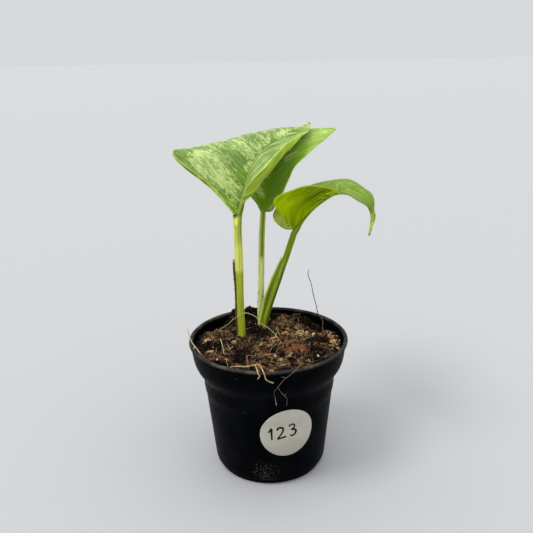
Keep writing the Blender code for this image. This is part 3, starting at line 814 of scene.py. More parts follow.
BLACK_PLASTIC = PlasticFinish()
LABEL_PAPER = PaperFinish()
LABEL_INK = InkFinish()
POTTING_SOIL = SoilFinish()
CRUMBS = ScatterFinish(
    name="crumb_mix", tints=((0.005, 0.003, 0.002), (0.1, 0.056, 0.028), (0.56, 0.4, 0.22)))
BARK = ScatterFinish(
    name="bark_flake", tints=((0.075, 0.036, 0.018), (0.27, 0.115, 0.04), (0.42, 0.26, 0.13)),
    grain_scale=900.0, roughness=0.8)
PERLITE = ScatterFinish(
    name="perlite_bead", tints=((0.5, 0.45, 0.34), (0.6, 0.56, 0.45), (0.68, 0.64, 0.54)),
    grain_scale=1800.0)
FIBRES = ScatterFinish(
    name="coir_fibre", tints=((0.06, 0.032, 0.016), (0.26, 0.145, 0.055), (0.62, 0.46, 0.22)),
    roughness=0.8, relief=0.05)
MARBLED_UPPER = LeafFinish(
    name="marbled_upper", deep=screen(74, 106, 38), vivid=screen(106, 144, 14), haze=screen(146, 169, 100),
    cream=screen(188, 203, 126), rib=screen(182, 200, 92), fleck_scale=4.6, fleck_stretch=2.3,
    vein_light=0.5, vein_softness=0.05, shine=0.18)
MARBLED_UNDER = UndersideFinish(
    name="marbled_under", shade=screen(84, 114, 4), lit=screen(214, 240, 96), streak=screen(206, 222, 96),
    streak_share=0.55, patch_share=0.4)
# The dark leaf's strong pale vein lines are partly pale veins and partly a painted sheen along the leaf's
# ridges.
DARK_UPPER = LeafFinish(
    name="dark_upper", deep=screen(100, 142, 0), vivid=screen(118, 154, 16), haze=screen(145, 171, 84),
    cream=screen(200, 214, 120), rib=screen(156, 184, 20), fleck_stretch=4.5, vein_light=0.9, sheen_strength=0.2,
    vein_scale=6.5, vein_softness=0.03, shine=0.04)
DARK_UNDER = UndersideFinish(
    name="dark_under", shade=screen(84, 112, 0), lit=screen(130, 158, 20), streak=screen(160, 180, 60))
GREEN_UPPER = LeafFinish(
    name="green_upper", deep=screen(84, 112, 20), vivid=screen(116, 146, 24), haze=screen(136, 158, 72),
    cream=screen(190, 200, 84), rib=screen(150, 178, 50), shine=0.12)
GREEN_UNDER = UndersideFinish(
    name="green_under", shade=screen(70, 108, 0), lit=screen(184, 208, 0), streak=screen(200, 216, 64),
    streak_share=0.35, vein_scale=8.0)
STALK_PALE = StalkFinish(
    name="stalk_marbled", green=screen(164, 176, 20), pale=screen(224, 228, 116), line=screen(118, 134, 10))
STALK_STRIPED = StalkFinish(
    name="stalk_dark", green=screen(150, 168, 36), pale=screen(218, 226, 146), line=screen(90, 112, 4))
STALK_GREEN = StalkFinish(
    name="stalk_green", green=screen(128, 150, 0), pale=screen(206, 216, 120), line=screen(72, 94, 0))
DRY_BROWN = RootFinish(
    name="dry_husk", colour=(0.105, 0.052, 0.020), dark=(0.026, 0.015, 0.008), tip=(0.42, 0.36, 0.24))
ROOT_TAN = RootFinish(
    name="tan_root", colour=(0.50, 0.36, 0.17), dark=(0.30, 0.19, 0.085), tip=(0.62, 0.54, 0.38))
ROOT_PALE = RootFinish(
    name="pale_root", colour=(0.46, 0.42, 0.22), dark=(0.30, 0.24, 0.11), tip=(0.60, 0.58, 0.42))
ROOT_BROWN = RootFinish(
    name="brown_root", colour=(0.110, 0.058, 0.038), dark=(0.042, 0.022, 0.015), tip=(0.45, 0.40, 0.33))


# the pot's wall, which the label lies on and the soil fills, as (radius, height)
INNER_WALL = (
    (24.8, 1.4), (25.9, 3.4), (29.8, 39.6), (30.4, 42.5), (30.6, 46.4), (31.6, 48.8), (33, 51.4),
    (34.4, 54.8), (35.3, 58.7), (35.8, 62.5))
LIP = ((36.1, 64.3), (36.5, 64.9), (37.1, 65), (37.8, 64.7), (38, 64.1), (37.8, 63.5), (37.1, 63.2))
COLLAR = ((36.6, 58.7), (36, 55.2), (34.8, 52), (33.2, 49.5), (32.1, 47.7), (31.7, 46.2))
WALL = ((30.9, 39.2), (27.3, 4.0))


@dataclass
class Pot:
    """The nursery pot, turned ring by ring round the vertical axis."""
    segments: int = 144
    foot: tuple = (
        (2, 0.5), (22.6, 0.5), (23.2, 0), (25.2, 0), (25.5, 0.15), (25.8, 0.6), (26.3, 2), (26.4, 2.5),
        (26.75, 2.75), (27.1, 3.1), (27.3, 4))
    floor: tuple = ((24.8, 1.4), (2.0, 1.4))
    drain_holes: int = 6
    drain_circle: float = 17.0
    drain_radius: float = 2.5
    drain_depth: float = 6.0
    ledge: tuple = ((31.2, 39.8), (31.6, 42.6))
    wall_steps: int = 10
    collar_steps: int = 16
    lip_steps: int = 16

    def profile(self) -> list[tuple[float, float]]:
        """The rings from the underside up the outside, over the lip and down to the floor."""
        collar = smooth(COLLAR[::-1], np.linspace(0, 1, self.collar_steps))
        lip = smooth(LIP[::-1], np.linspace(0, 1, self.lip_steps))
        inner = smooth(INNER_WALL[::-1], np.linspace(0, 1, 2 * self.collar_steps))
        wall = np.linspace(WALL[1], WALL[0], self.wall_steps + 1)[1:]
        return [*self.foot, *wall, *self.ledge, *collar, *lip, *inner[:-1], *self.floor]

    def build(self) -> None:
        """Turns the pot, cuts its drainage holes and dresses it."""
        (radius, height), *rings = self.profile()
        pot = primitive("pot_shell", bpy.ops.mesh.primitive_circle_add, vertices=self.segments,
                        radius=radius * MM, fill_type="NOTHING")
        bpy.ops.object.mode_set(mode="EDIT")
        bpy.ops.mesh.select_all(action="SELECT")
        bpy.ops.transform.translate(value=(0, 0, height * MM))
        for wider, higher in rings:
            rise, widening = (higher - height) * MM, wider / radius
            bpy.ops.mesh.extrude_edges_move(TRANSFORM_OT_translate={"value": (0, 0, rise)})
            bpy.ops.transform.resize(value=(widening, widening, 1), center_override=(0, 0, 0))
            radius, height = wider, higher
        bpy.ops.mesh.select_all(action="SELECT")
        bpy.ops.mesh.fill_holes(sides=0)
        bpy.ops.mesh.select_all(action="SELECT")
        bpy.ops.mesh.normals_make_consistent(inside=False)
        bpy.ops.object.mode_set(mode="OBJECT")
        self.drill(pot)
        shade(pot, 35)
        dress(pot, BLACK_PLASTIC)
        settle(pot, Slot.PLASTIC, "pot")

    def drill(self, pot: bpy.types.Object) -> None:
        """Cuts the drainage holes through the floor."""
        for number in range(self.drain_holes):
            turn = 2 * math.pi * number / self.drain_holes
            spot = (self.drain_circle * MM * math.cos(turn), self.drain_circle * MM * math.sin(turn), 0)
            cutter = primitive("drain_cutter", bpy.ops.mesh.primitive_cylinder_add, vertices=32,
                               radius=self.drain_radius * MM, depth=self.drain_depth * MM, location=spot)
            apply_modifier(pot, "BOOLEAN", operation="DIFFERENCE", object=cutter, solver="EXACT")
            bpy.data.objects.remove(cutter, do_unlink=True)


@dataclass
class Label:
    """The round paper label wrapped round the pot's wall, and the pen strokes on it."""
    radius: float = 12.7
    thickness: float = 0.2
    clearance: float = 0.35
    height: float = 29.9
    turn: float = math.radians(15.1)
    segments: int = 128
    rings: int = 12
    ledge_rise: float = 0.4
    ledge_ramp: tuple[float, float] = (33.0, 38.0)
    pen_width: float = 0.92
    ink_lift: float = 0.02
    digits_turn: float = math.radians(9)
    digits_place: tuple[float, float] = (-2.3, 0.6)
    strokes: tuple = (
        ((-6.6, 1.4), (-5.6, 2.3), (-4.9, 3.1), (-5.1, 1), (-5.3, -1.2), (-5.4, -3)),
        ((-2.4, 1.7), (-1.9, 2.7), (-0.8, 3), (0.3, 2.4), (0.3, 1.2), (-0.6, -0.4), (-1.9, -1.9),
         (-2.7, -2.9), (-1.2, -2.8), (0.2, -2.7), (1.3, -2.6)),
        ((3.1, 2.3), (4.2, 3.1), (5.5, 2.9), (5.9, 1.9), (5.3, 0.8), (4.3, 0.3), (5.6, -0.1), (6.2, -1.2),
         (5.6, -2.5), (4.3, -3.1), (3, -2.6)),
    )

    def wall_radius(self, height: np.ndarray) -> np.ndarray:
        """The radius that the label follows at a height, over the wall's ledge."""
        (top_radius, top), (foot_radius, foot) = WALL
        slope = (top_radius - foot_radius) / (top - foot)
        return foot_radius + slope * (height - foot) + self.ledge_rise * ramp(height, *self.ledge_ramp)

    def wrapped(self, flat: np.ndarray, lift: Values) -> np.ndarray:
        """Wraps flat points round the wall.

        Args:
            flat: points in the label's own plane, right and up from its middle.
            lift: how far they stand off the wall.

        Returns:
            The points in their places.
        """
        height = self.height + flat[:, 1]
        radius = self.wall_radius(height) + lift
        turn = self.turn + flat[:, 0] / radius
        return np.stack([radius * np.sin(turn), -radius * np.cos(turn), height], 1)

    def build(self) -> None:
        """Makes the paper disc and the number on it."""
        disc = primitive("label_disc", bpy.ops.mesh.primitive_circle_add, vertices=self.segments,
                         radius=self.radius * MM, fill_type="NGON")
        bpy.ops.object.mode_set(mode="EDIT")
        bpy.ops.mesh.select_all(action="SELECT")
        for _ in range(self.rings):
            bpy.ops.mesh.inset(thickness=self.radius / (self.rings + 1) * MM)
        bpy.ops.mesh.poke()
        bpy.ops.object.mode_set(mode="OBJECT")
        flat = read_points(disc)
        rim = np.linalg.norm(flat[:, :2], axis=1) / self.radius
        curl = 0.10 * ramp(rim, 0.8, 1.0) * (0.5 + 0.5 * ripple(flat, 6.0, 4.2))
        write_points(disc, self.wrapped(flat[:, :2], self.clearance + curl))
        apply_modifier(disc, "SOLIDIFY", thickness=self.thickness * MM, offset=1.0)
        apply_modifier(disc, "BEVEL", width=0.05 * MM, segments=2, limit_method="ANGLE")
        shade(disc, 40)
        dress(disc, LABEL_PAPER)
        settle(disc, Slot.PAPER, "label")
        number = join("label_number", [self.stroke(line) for line in self.strokes])
        dress(number, LABEL_INK)
        settle(number, Slot.INK)

    def stroke(self, line: Sequence[tuple[float, float]]) -> bpy.types.Object:
        """Draws one pen stroke on the label."""
        sheet = Sheet("pen_stroke", 72, 8)
        path = smooth(line, sheet.along)
        ahead = unit(smooth(line, sheet.along + 0.004) - smooth(line, sheet.along - 0.004))
        beside = np.stack([-ahead[:, 1], ahead[:, 0]], 1)
        ends = np.minimum(sheet.along, 1 - sheet.along) / 0.035
        pressed = 1 + 0.14 * np.sin(7 * sheet.along + 5 * line[0][0])
        width = self.pen_width / 2 * pressed * np.sqrt(1 - (1 - np.clip(ends, 0, 1)) ** 2 * 0.96)
        flat = path + beside * (sheet.across * width)[:, None]
        cosine, sine = math.cos(self.digits_turn), math.sin(self.digits_turn)
        turned = flat @ np.array(((cosine, sine), (-sine, cosine)))
        lift = self.clearance + self.thickness + self.ink_lift
        sheet.place(self.wrapped(turned + np.array(self.digits_place), lift))
        apply_modifier(sheet.item, "SOLIDIFY", thickness=0.03 * MM, offset=0.0)
        weld(sheet.item)
        return sheet.item


# mounds and hollows of the soil: (x, y, radius, rise)
MOUNDS = ((-2, 18, 8, 1.9), (-8.3, 30.5, 5.5, 6.3), (-17.5, 29, 4.6, 6.2), (7.5, 27, 5.5, 2.6),
          (17, 28, 5, 2.6), (16, 15, 5, 1.3), (12, -5, 7, 1.4), (30, 3, 4, 1.4), (-24, 15, 6, 1.2),
          (-13.5, -19, 4, -3.2), (2, -12, 4, -1.3), (27, 21, 6, -1.4), (-27, 21, 7, -2.4),
          (-14.5, -5.5, 5, 1.2))
# lumps all over it: (size, rise, seed)
LUMPS = ((6.5, 2.6, 3.0), (3.2, 1.4, 8.0))
# rusty, tan and darker stretches of the soil: (x, y, radius, strength)
STRETCHES = {
    Tone.RUST: (
        (12.6, -8.5, 7, 1), (4, -1, 7, 0.75), (-4, -8, 6, 0.65), (28.5, -3.5, 3.5, 0.6), (-26, -15, 6, 0.6),
        (8, 9, 5, 0.5), (-12, -24, 6, 0.4)),
    Tone.TAN: (
        (-25, 12, 9, 0.7), (10, 22, 8, 1), (17, 8, 7, 0.9), (31, 2, 4, 0.7), (3, -22, 6, 0.5),
        (2, -5, 4, 0.6)),
    Tone.DUSKY: (
        (-10, 27, 12, 1), (-22, 24, 9, 1), (22, 22, 10, 1), (-28, -2, 8, 0.9), (-13, -16, 5, 1),
        (1, -8, 4, 0.8), (24, 2, 5, 0.9), (22, -14, 7, 0.8), (-5, 14, 8, 0.9), (-8, 20, 8, 1)),
}
SOIL_LEVEL = 60.8
FRONT_RISE = 0.035
Laid = tuple[Matrix, float]
Lump = tuple[np.ndarray, float]


def soil_height(x: float, y: float) -> float:
    """The height of the soil at a place."""
    height = SOIL_LEVEL - FRONT_RISE * y
    for mound_x, mound_y, radius, rise in MOUNDS:
        far = math.hypot(x - mound_x, y - mound_y) / radius
        height += rise * math.exp(-far * far)
    for size, rise, seed in LUMPS:
        height += rise * noise.noise(Vector((x / size, y / size, seed)))
    return height


def on_soil(x: float, y: float, lift: float) -> Point:
    """A place a little above the soil."""
    return x, y, soil_height(x, y) + lift


def soil_tone(tone: Tone, x: Values, y: Values) -> Values:
    """How strongly a tone colours the soil at one place or at many."""
    total = np.zeros(np.shape(x))
    for middle_x, middle_y, radius, strength in STRETCHES[tone]:
        far = np.hypot(x - middle_x, y - middle_y) / radius
        total = np.maximum(total, strength * np.exp(-far ** 4))
    # Painted shade: the soil next to the pot's wall is painted darker.
    if tone is Tone.DUSKY:
        total = np.maximum(total, 0.9 * ramp(np.hypot(x, y), 30.5, 34.5))
    return total


def strewn(name: str, lumps: Sequence[Lump], faces: Sequence[tuple]) -> bpy.types.Object:
    """Makes one piece of many small ones that have the same faces.

    Args:
        name: the piece's name.
        lumps: the vertices and the tint of each small one.
        faces: the faces of one of them.

    Returns:
        The piece.
    """
    count = len(lumps[0][0])
    mesh = bpy.data.meshes.new(name)
    points = np.concatenate([lump for lump, _ in lumps]) * MM
    corners = [tuple(start + corner for corner in face)
               for start in range(0, count * len(lumps), count) for face in faces]
    mesh.from_pydata(points.tolist(), [], corners)
    paint_mask(mesh, Tone.TINT, np.repeat([tint for _, tint in lumps], count))
    return linked(name, mesh)


@dataclass
class Soil:
    """The root ball: its surface, clods, crumbs, bark, perlite and fibres."""
    seed: int = 7
    top_radius: float = 35.1
    base: float = 1.8
    segments: int = 360
    top_rings: int = 120
    side_rings: int = 14
    wall_gap: float = 0.35
    # bedded clods: (x, y, long, wide, high, turn in degrees, tan, rust, dark)
    clods: tuple = (
        (8, 11, 6, 2.6, 2.2, 20, 0.6, 0.6, 0), (15, 15, 5, 3.8, 3, 75, 0.9, 0.1, 0),
        (16, -9, 4.2, 3.2, 2, 10, 0.1, 0.9, 0.2), (9, -4, 4.6, 3.4, 2, 50, 0.3, 0.8, 0.1),
        (12, -12, 3.6, 2.6, 1.8, 80, 0.2, 0.6, 0.4), (32, -6, 5, 2.2, 2, 120, 0.8, 0.4, 0.1),
        (28, 4, 4.4, 3.4, 2.8, 40, 0.5, 0.2, 0.2), (-29, 7, 4.2, 3, 2.4, 60, 0.7, 0.1, 0.2),
        (-19, 18, 5.6, 3, 2.8, 35, 0.5, 0, 0.2), (3, -24, 5, 3.2, 2.2, 150, 0.6, 0.2, 0.1),
        (23, -15, 4, 3, 2.6, 0, 0.1, 0, 1), (4, 28, 4.6, 3.4, 3.4, 15, 0, 0, 1),
        (11, 26, 4.2, 3.6, 3.2, 95, 0.7, 0, 0.1), (-8.8, 29.2, 4.6, 3.6, 2.6, 165, 0, 0, 1),
        (-5.6, 30, 3, 2.6, 2.6, 70, 0, 0, 1), (-11.8, 28.6, 3.8, 2.8, 3, 15, 0.1, 0, 1),
        (-7.4, 26.6, 3.6, 2.4, 2.6, 110, 0, 0, 1), (-10.4, 31.4, 2.6, 2.4, 2.8, 40, 0, 0, 1),
        (-17, 29, 3.8, 3, 3.2, 30, 0, 0, 1), (-19.2, 25.4, 3.4, 2.6, 2.6, 80, 0.1, 0, 0.9),
        (-13.6, 25, 3, 2.6, 2.4, 140, 0, 0, 1), (-22, 27, 3, 2.2, 2.4, 10, 0, 0, 1),
        (-21, -9, 7, 2.6, 2, 25, 0.5, 0.2, 0.2), (-3, -17, 6.2, 2.6, 2, 12, 0.6, 0.3, 0.1),
        (20, 24, 4.6, 3, 2.8, 130, 0.1, 0, 1), (25, 17, 3.8, 3, 2.6, 60, 0.1, 0, 1),
        (-8, -7, 7, 5.2, 2.6, 70, 0.1, 0.1, 0.3), (-14, -4, 4.4, 3.6, 2.4, 20, 0.2, 0, 0.4),
        (20, 3, 3.6, 2.8, 2.4, 100, 0.3, 0.1, 0.6), (-24, 2, 4, 3, 2.2, 130, 0.2, 0, 0.9),
        (-9.6, 30.2, 2, 1.6, 3.4, 20, 0, 0, 1), (-6.6, 30.6, 1.7, 1.5, 3, 70, 0, 0, 1),
        (-11.2, -9.3, 4.4, 3.4, 3, 15, 0.1, 0, 0.2), (6.7, -12.9, 3.4, 2.2, 2.2, 10, 0, 0, 1),
    )
    clod_lumps: float = 0.32
    clod_grit: float = 0.18
    clod_tilt: float = math.radians(9)
    spread: float = 34.2
    inner_spread: float = 33.0
    crumbs: int = 3200
    crumb_reach: float = 34.8
    flecks: int = 300
    # clumps of pale crumbs: (x, y, radius, count, tint)
    crumb_clumps: tuple = (
        (15.5, 6.5, 4.5, 110, 0.8), (8.5, 20, 5.5, 130, 0.5), (-25.5, 13, 5.5, 70, 0.5),
        (31, 3.5, 3, 40, 0.75), (4, -3.5, 4, 40, 0.6), (2.5, -24, 4, 40, 0.55))
    # how many crumbs lie against the foot of each stalk
    foot_crumbs: int = 18
    # bark chips that can be told apart: (x, y, lift, long, wide, thick, turn, tilt, tint)
    chips: tuple = (
        (8.2, 5, 2.2, 3.6, 1.6, 0.9, 32, 22, 0.62), (2.9, 1.4, 1.8, 4.2, 1.2, 0.7, 30, 20, 0.8),
        (-30, 5.6, 1.2, 4.2, 2.6, 0.7, 60, 12, 0.85), (33, -11, 1.4, 5.4, 1.4, 0.6, 118, 24, 0.85),
        (31, -2, 2, 3.4, 1.8, 0.6, 20, 34, 0.8), (29.5, 1.6, 2.3, 3.6, 1.7, 0.5, 75, 24, 0.7),
        (1.4, -24.2, 2.2, 4.6, 2.8, 0.4, 152, 34, 0.62), (4.6, -26.4, 1.7, 3.6, 1, 0.4, 138, 28, 0.75),
        (5.5, -21.4, 1.7, 1.8, 1.2, 1.2, 70, 38, 0.95), (-23, -25, 1.6, 1.1, 0.9, 0.8, 0, 0, 0.9),
        (-27.4, -9.9, 1.5, 3.4, 1, 0.8, 14, 20, 1), (-23, -17, 0.8, 7, 1.1, 0.8, 24, 8, 0.12),
        (-9.8, -19.4, 1.6, 0.9, 5.6, 0.9, 6, 40, 0.3), (1, -15.6, 1.3, 6, 0.7, 0.6, 10, 4, 0.66),
        (4, -5.6, 1.5, 2.2, 1.1, 0.7, 20, 20, 0.7), (0, -3.6, 1.4, 2, 0.9, 0.6, 120, 20, 0.66),
        (19, 9, 1.6, 2.6, 1.6, 0.8, 60, 40, 0.95), (14, 12, 2, 3, 1.2, 0.8, 110, 30, 0.6),
        (-16, -5, 1, 3, 1.2, 0.8, 140, 15, 0.25), (26.5, 9, 1.1, 3, 1.6, 0.9, 15, 18, 0.35),
    )
    loose_chips: int = 60
    # perlite beads: (x, y, lift, size)
    beads: tuple = (
        (22.4, -18.6, 1.3, 0.7), (-34.1, -13.9, 4, 0.5), (-31.4, 2, 0.8, 0.4), (15, 9.6, 1.8, 0.6),
        (27.6, 13, 0.8, 0.4), (20.2, -1.4, 0.9, 0.4), (-16.4, 1.8, 0.8, 0.35), (17.5, 7, 1.6, 0.4),
        (16, 4, 1.5, 0.35), (-3.4, 17.4, 10.4, 0.18), (-2.6, 17.6, 11.6, 0.16), (-2.9, 17.4, 13, 0.15),
    )
    fibres: int = 420
    fibre_spread: float = 33.5
    fibre_rings: int = 9
    fibre_reach: float = 34.4
    # clumps of curly fibre: (x, y, radius, count, tint)
    fibre_clumps: tuple = (
        (8.5, 21, 5.5, 44, 0.6), (16, 7, 4.5, 26, 0.95), (-25.5, 13, 5, 24, 0.6), (30, -4, 4, 18, 0.75),
        (3, -4, 3, 14, 0.65))
    draw: random.Random = field(init=False)

    def __post_init__(self) -> None:
        """Seeds the draws."""
        self.draw = random.Random(self.seed)

    def build(self) -> None:
        """Makes the soil's pieces in order."""
        self.surface()
        self.bedded_clods()
        crumbs = self.copies("soil_crumbs", 1, self.laid_crumbs(), 0.28)
        dress(crumbs, CRUMBS)
        settle(crumbs, Slot.SOIL)
        bark = self.copies("bark_chips", 2, self.laid_chips(), 0.24, 0.62)
        shade(bark, 25)
        dress(bark, BARK)
        settle(bark, Slot.BARK)
        places = [self.pose(on_soil(x, y, lift), size, (1, 0.85, 0.8)) for x, y, lift, size in self.beads]
        beads = self.copies("perlite_beads", 2, ((place, self.draw.random()) for place in places), 0.22)
        shade(beads, 60)
        dress(beads, PERLITE)
        settle(beads, Slot.PERLITE)
        fibres = strewn("soil_fibres", list(self.laid_fibres()), self.fibre_faces())
        shade(fibres, 80)
        dress(fibres, FIBRES)
        settle(fibres, Slot.ROOT_TAN)

    def stations(self) -> tuple[np.ndarray, np.ndarray, np.ndarray]:
        """Radius, height and share of relief of each ring, from the middle over the side to the base."""
        top = np.linspace(0, 1, self.top_rings) ** 0.85 * self.top_radius
        side = smooth(INNER_WALL[:-1][::-1], np.linspace(0, 1, self.side_rings))
        radius = np.concatenate([top, side[:, 0] - self.wall_gap, [12.0, 0.0]])
        lowered = np.maximum(side[:, 1] - 0.4, self.base)
        height = np.concatenate([np.full(self.top_rings, SOIL_LEVEL), lowered, [self.base, self.base]])
        relief = np.concatenate([np.ones(self.top_rings), np.zeros(self.side_rings + 2)])
        return radius, height, relief

    def surface(self) -> None:
        """Models the root ball with its rough surface."""
        radius, height, relief = self.stations()
        sheet = Sheet("soil_surface", len(radius) - 1, self.segments)
        turn = math.pi * sheet.across
        reach = radius[sheet.row]
        x, y = reach * np.cos(turn), reach * np.sin(turn)
        on_top = relief[sheet.row] > 0
        places = np.stack([x, y, height[sheet.row]], 1)
        top = places[on_top]
        shift = 0.45 * np.stack([ripple(top, 1.9, 2.0), ripple(top, 1.9, 6.0)], 1)
        top[:, :2] += shift * ramp(35 - reach[on_top], 0, 2)[:, None]
        rough = 1.15 * crumble(top, 2.4, 5.0, 4) + 0.5 * np.abs(ripple(top, 0.9, 11.0))
        top[:, 2] = np.array([soil_height(a, b) for a, b in top[:, :2]]) + rough
        places[on_top] = top
        sheet.place(places)
        # Painted shade and light: the hollows of the rough top are painted darker, and its crests paler tan.
        shaded_hollow, lit_crest = np.zeros(len(x)), np.zeros(len(x))
        shaded_hollow[on_top], lit_crest[on_top] = ramp(rough, 0.25, -0.6), ramp(rough, 0.5, 1.2)
        sheet.paint(Tone.RUST, soil_tone(Tone.RUST, x, y) * on_top)
        sheet.paint(Tone.TAN, soil_tone(Tone.TAN, x, y) * on_top * (1 - shaded_hollow) + 0.5 * lit_crest)
        sheet.paint(Tone.DUSKY, np.maximum(soil_tone(Tone.DUSKY, x, y) * on_top, 1.6 * shaded_hollow))
        weld(sheet.item)
        shade(sheet.item, 180)
        dress(sheet.item, POTTING_SOIL)
        settle(sheet.item, Slot.SOIL, "soil")

    def bedded_clods(self) -> None:
        """Models the clods that are bedded in the surface."""
        parts = []
        for number, (x, y, long, wide, high, turn, *tones) in enumerate(self.clods):
            part = primitive("clod", bpy.ops.mesh.primitive_ico_sphere_add, subdivisions=4, radius=1.0,
                             calc_uvs=False)
            ball = read_points(part) * MM
            swell = 1 + self.clod_lumps * crumble(ball * 1.3, 1.0, number * 3.7, 2)
            swell += self.clod_grit * crumble(ball * 4.5, 1.0, number * 5.1, 3)
            lump = ball * swell[:, None] * np.array([long, wide, high]) / 2
            spin = Matrix.Rotation(math.radians(turn), 3, "Z") @ Matrix.Rotation(self.clod_tilt, 3, "X")
            write_points(part, lump @ np.array(spin).T + np.array(on_soil(x, y, high * 0.2)))
            for tone, value in zip((Tone.TAN, Tone.RUST, Tone.DUSKY), tones):
                paint_mask(part.data, tone, np.full(len(lump), value))
            parts.append(part)
        clods = join("soil_clods", parts)
        shade(clods, 180)
        dress(clods, POTTING_SOIL)
        settle(clods, Slot.SOIL, "soil")

    def copies(self, name: str, finer: int, laid: Iterator[Laid], jitter: float,
               roundness: float = 1.0) -> bpy.types.Object:
        """Makes one piece of many copies of a small ball.

        Args:
            name: the piece's name.
            finer: how often the ball is subdivided.
            laid: where each copy goes, in millimetres, and its tint.
            jitter: how unlike each other the copies are.
            roundness: 1 for a ball, and less for a boxy one.

        Returns:
            The piece.
        """
        item = primitive("ball", bpy.ops.mesh.primitive_ico_sphere_add, subdivisions=finer, radius=1.0)
        shape = read_points(item) * MM
        shape = np.sign(shape) * np.abs(shape) ** roundness
        faces = [tuple(face.vertices) for face in item.data.polygons]
        bpy.data.objects.remove(item, do_unlink=True)
        laid = list(laid)
        draws = np.random.default_rng(self.seed + len(laid))
        lumps = []
        for place, tint in laid:
            lump = shape * (1 + jitter * draws.uniform(-1, 1, (len(shape), 1)))
            spot = np.array(place)
            lumps.append((lump @ spot[:3, :3].T + spot[:3, 3], tint))
        return strewn(name, lumps, faces)

    def spot(self, spread: float) -> tuple[float, float]:
        """Draws a place on the soil, evenly spread."""
        far = spread * math.sqrt(self.draw.random())
        turn = self.draw.uniform(0, 2 * math.pi)
        return far * math.cos(turn), far * math.sin(turn)

    def pose(self, place: Point, size: float, shape: Sequence[float], tilt: float = math.pi) -> Matrix:
        """Places a copy: its middle, its half size and form, and a drawn turn of at most a tilt."""
        draw = self.draw
        turn = Euler((draw.uniform(-tilt, tilt), draw.uniform(-tilt, tilt), draw.uniform(0, 2 * math.pi)))
        form = Matrix.Diagonal((*(size * part for part in shape), 1))
        return Matrix.Translation(place) @ turn.to_matrix().to_4x4() @ form

    def laid_crumbs(self) -> Iterator[Laid]:
        """Lays loose crumbs over the surface, thickest at the back and round the stalks."""
        draw = self.draw
        for _ in range(self.crumbs):
            x, y = self.spot(self.spread)
            size = min(0.22 + draw.expovariate(3.6), 1.7)
            tan, dark, rust = (soil_tone(tone, x, y) for tone in (Tone.TAN, Tone.DUSKY, Tone.RUST))
            if draw.random() < 0.75 * rust:
                continue
            # Crumbs are tinted darker in the dusky stretches, which next to the wall are painted shade.
            tint = draw.betavariate(0.7, 1.7) * (1 - 0.85 * dark) + 0.4 * tan * draw.random()
            sizes = [size * draw.uniform(0.6, 1.1) for _ in range(3)]
            far = math.hypot(x, y)
            if far + size > self.crumb_reach + 0.2:
                x, y = x * (self.crumb_reach - size) / far, y * (self.crumb_reach - size) / far
            yield self.pose(on_soil(x, y, 0.5 + 0.35 * size), 1, sizes), min(tint, 1.0)
        for _ in range(self.flecks):
            x, y = self.spot(self.inner_spread)
            if draw.random() > soil_tone(Tone.DUSKY, x, y):
                size = draw.uniform(0.15, 0.36)
                yield self.pose(on_soil(x, y, 1.25), size, (1, 0.8, 0.6)), draw.uniform(0.7, 1.0)
        for middle_x, middle_y, radius, count, tint in self.crumb_clumps:
            for _ in range(count):
                x, y = draw.gauss(middle_x, radius / 2), draw.gauss(middle_y, radius / 2)
                size = draw.uniform(0.15, 0.5)
                place = self.pose(on_soil(x, y, 1.0 + 0.5 * size), size, (1, 0.8, 0.6))
                yield place, min(max(draw.gauss(tint, 0.35), 0.0), 1.0)
        for leaf in LEAVES:
            for _ in range(self.foot_crumbs):
                x, y, _ = leaf.skin(SOIL_LEVEL, draw.uniform(-1.7, 1.7), 0.3)
                size = draw.uniform(0.3, 0.8)
                yield self.pose(on_soil(x, y, 0.9), size, (1, 0.8, 0.7)), draw.betavariate(1.4, 3.2)
        for leaf, height, turn, size in CLINGING:
            yield self.pose(leaf.skin(height, turn, 0.1), size, (1, 0.8, 0.8)), 0.05

    def laid_chips(self) -> Iterator[Laid]:
        """Lays the chips that can be told apart, and small ones between them."""
        draw = self.draw
        for x, y, lift, long, wide, thick, turn, tilt, tint in self.chips:
            spin = Matrix.Rotation(math.radians(turn), 4, "Z") @ Matrix.Rotation(math.radians(tilt), 4, "X")
            form = Matrix.Diagonal((long / 2, wide / 2, thick / 2, 1))
            yield Matrix.Translation(on_soil(x, y, lift)) @ spin @ form, tint
        for _ in range(self.loose_chips):
            x, y = self.spot(self.inner_spread)
            if draw.random() < 0.9 * soil_tone(Tone.DUSKY, x, y):
                continue
            sizes = (draw.uniform(0.6, 1.9), draw.uniform(0.3, 0.8), draw.uniform(0.15, 0.4))
            yield self.pose(on_soil(x, y, 1.0), 1, sizes, 0.6), draw.betavariate(1.2, 3.2)

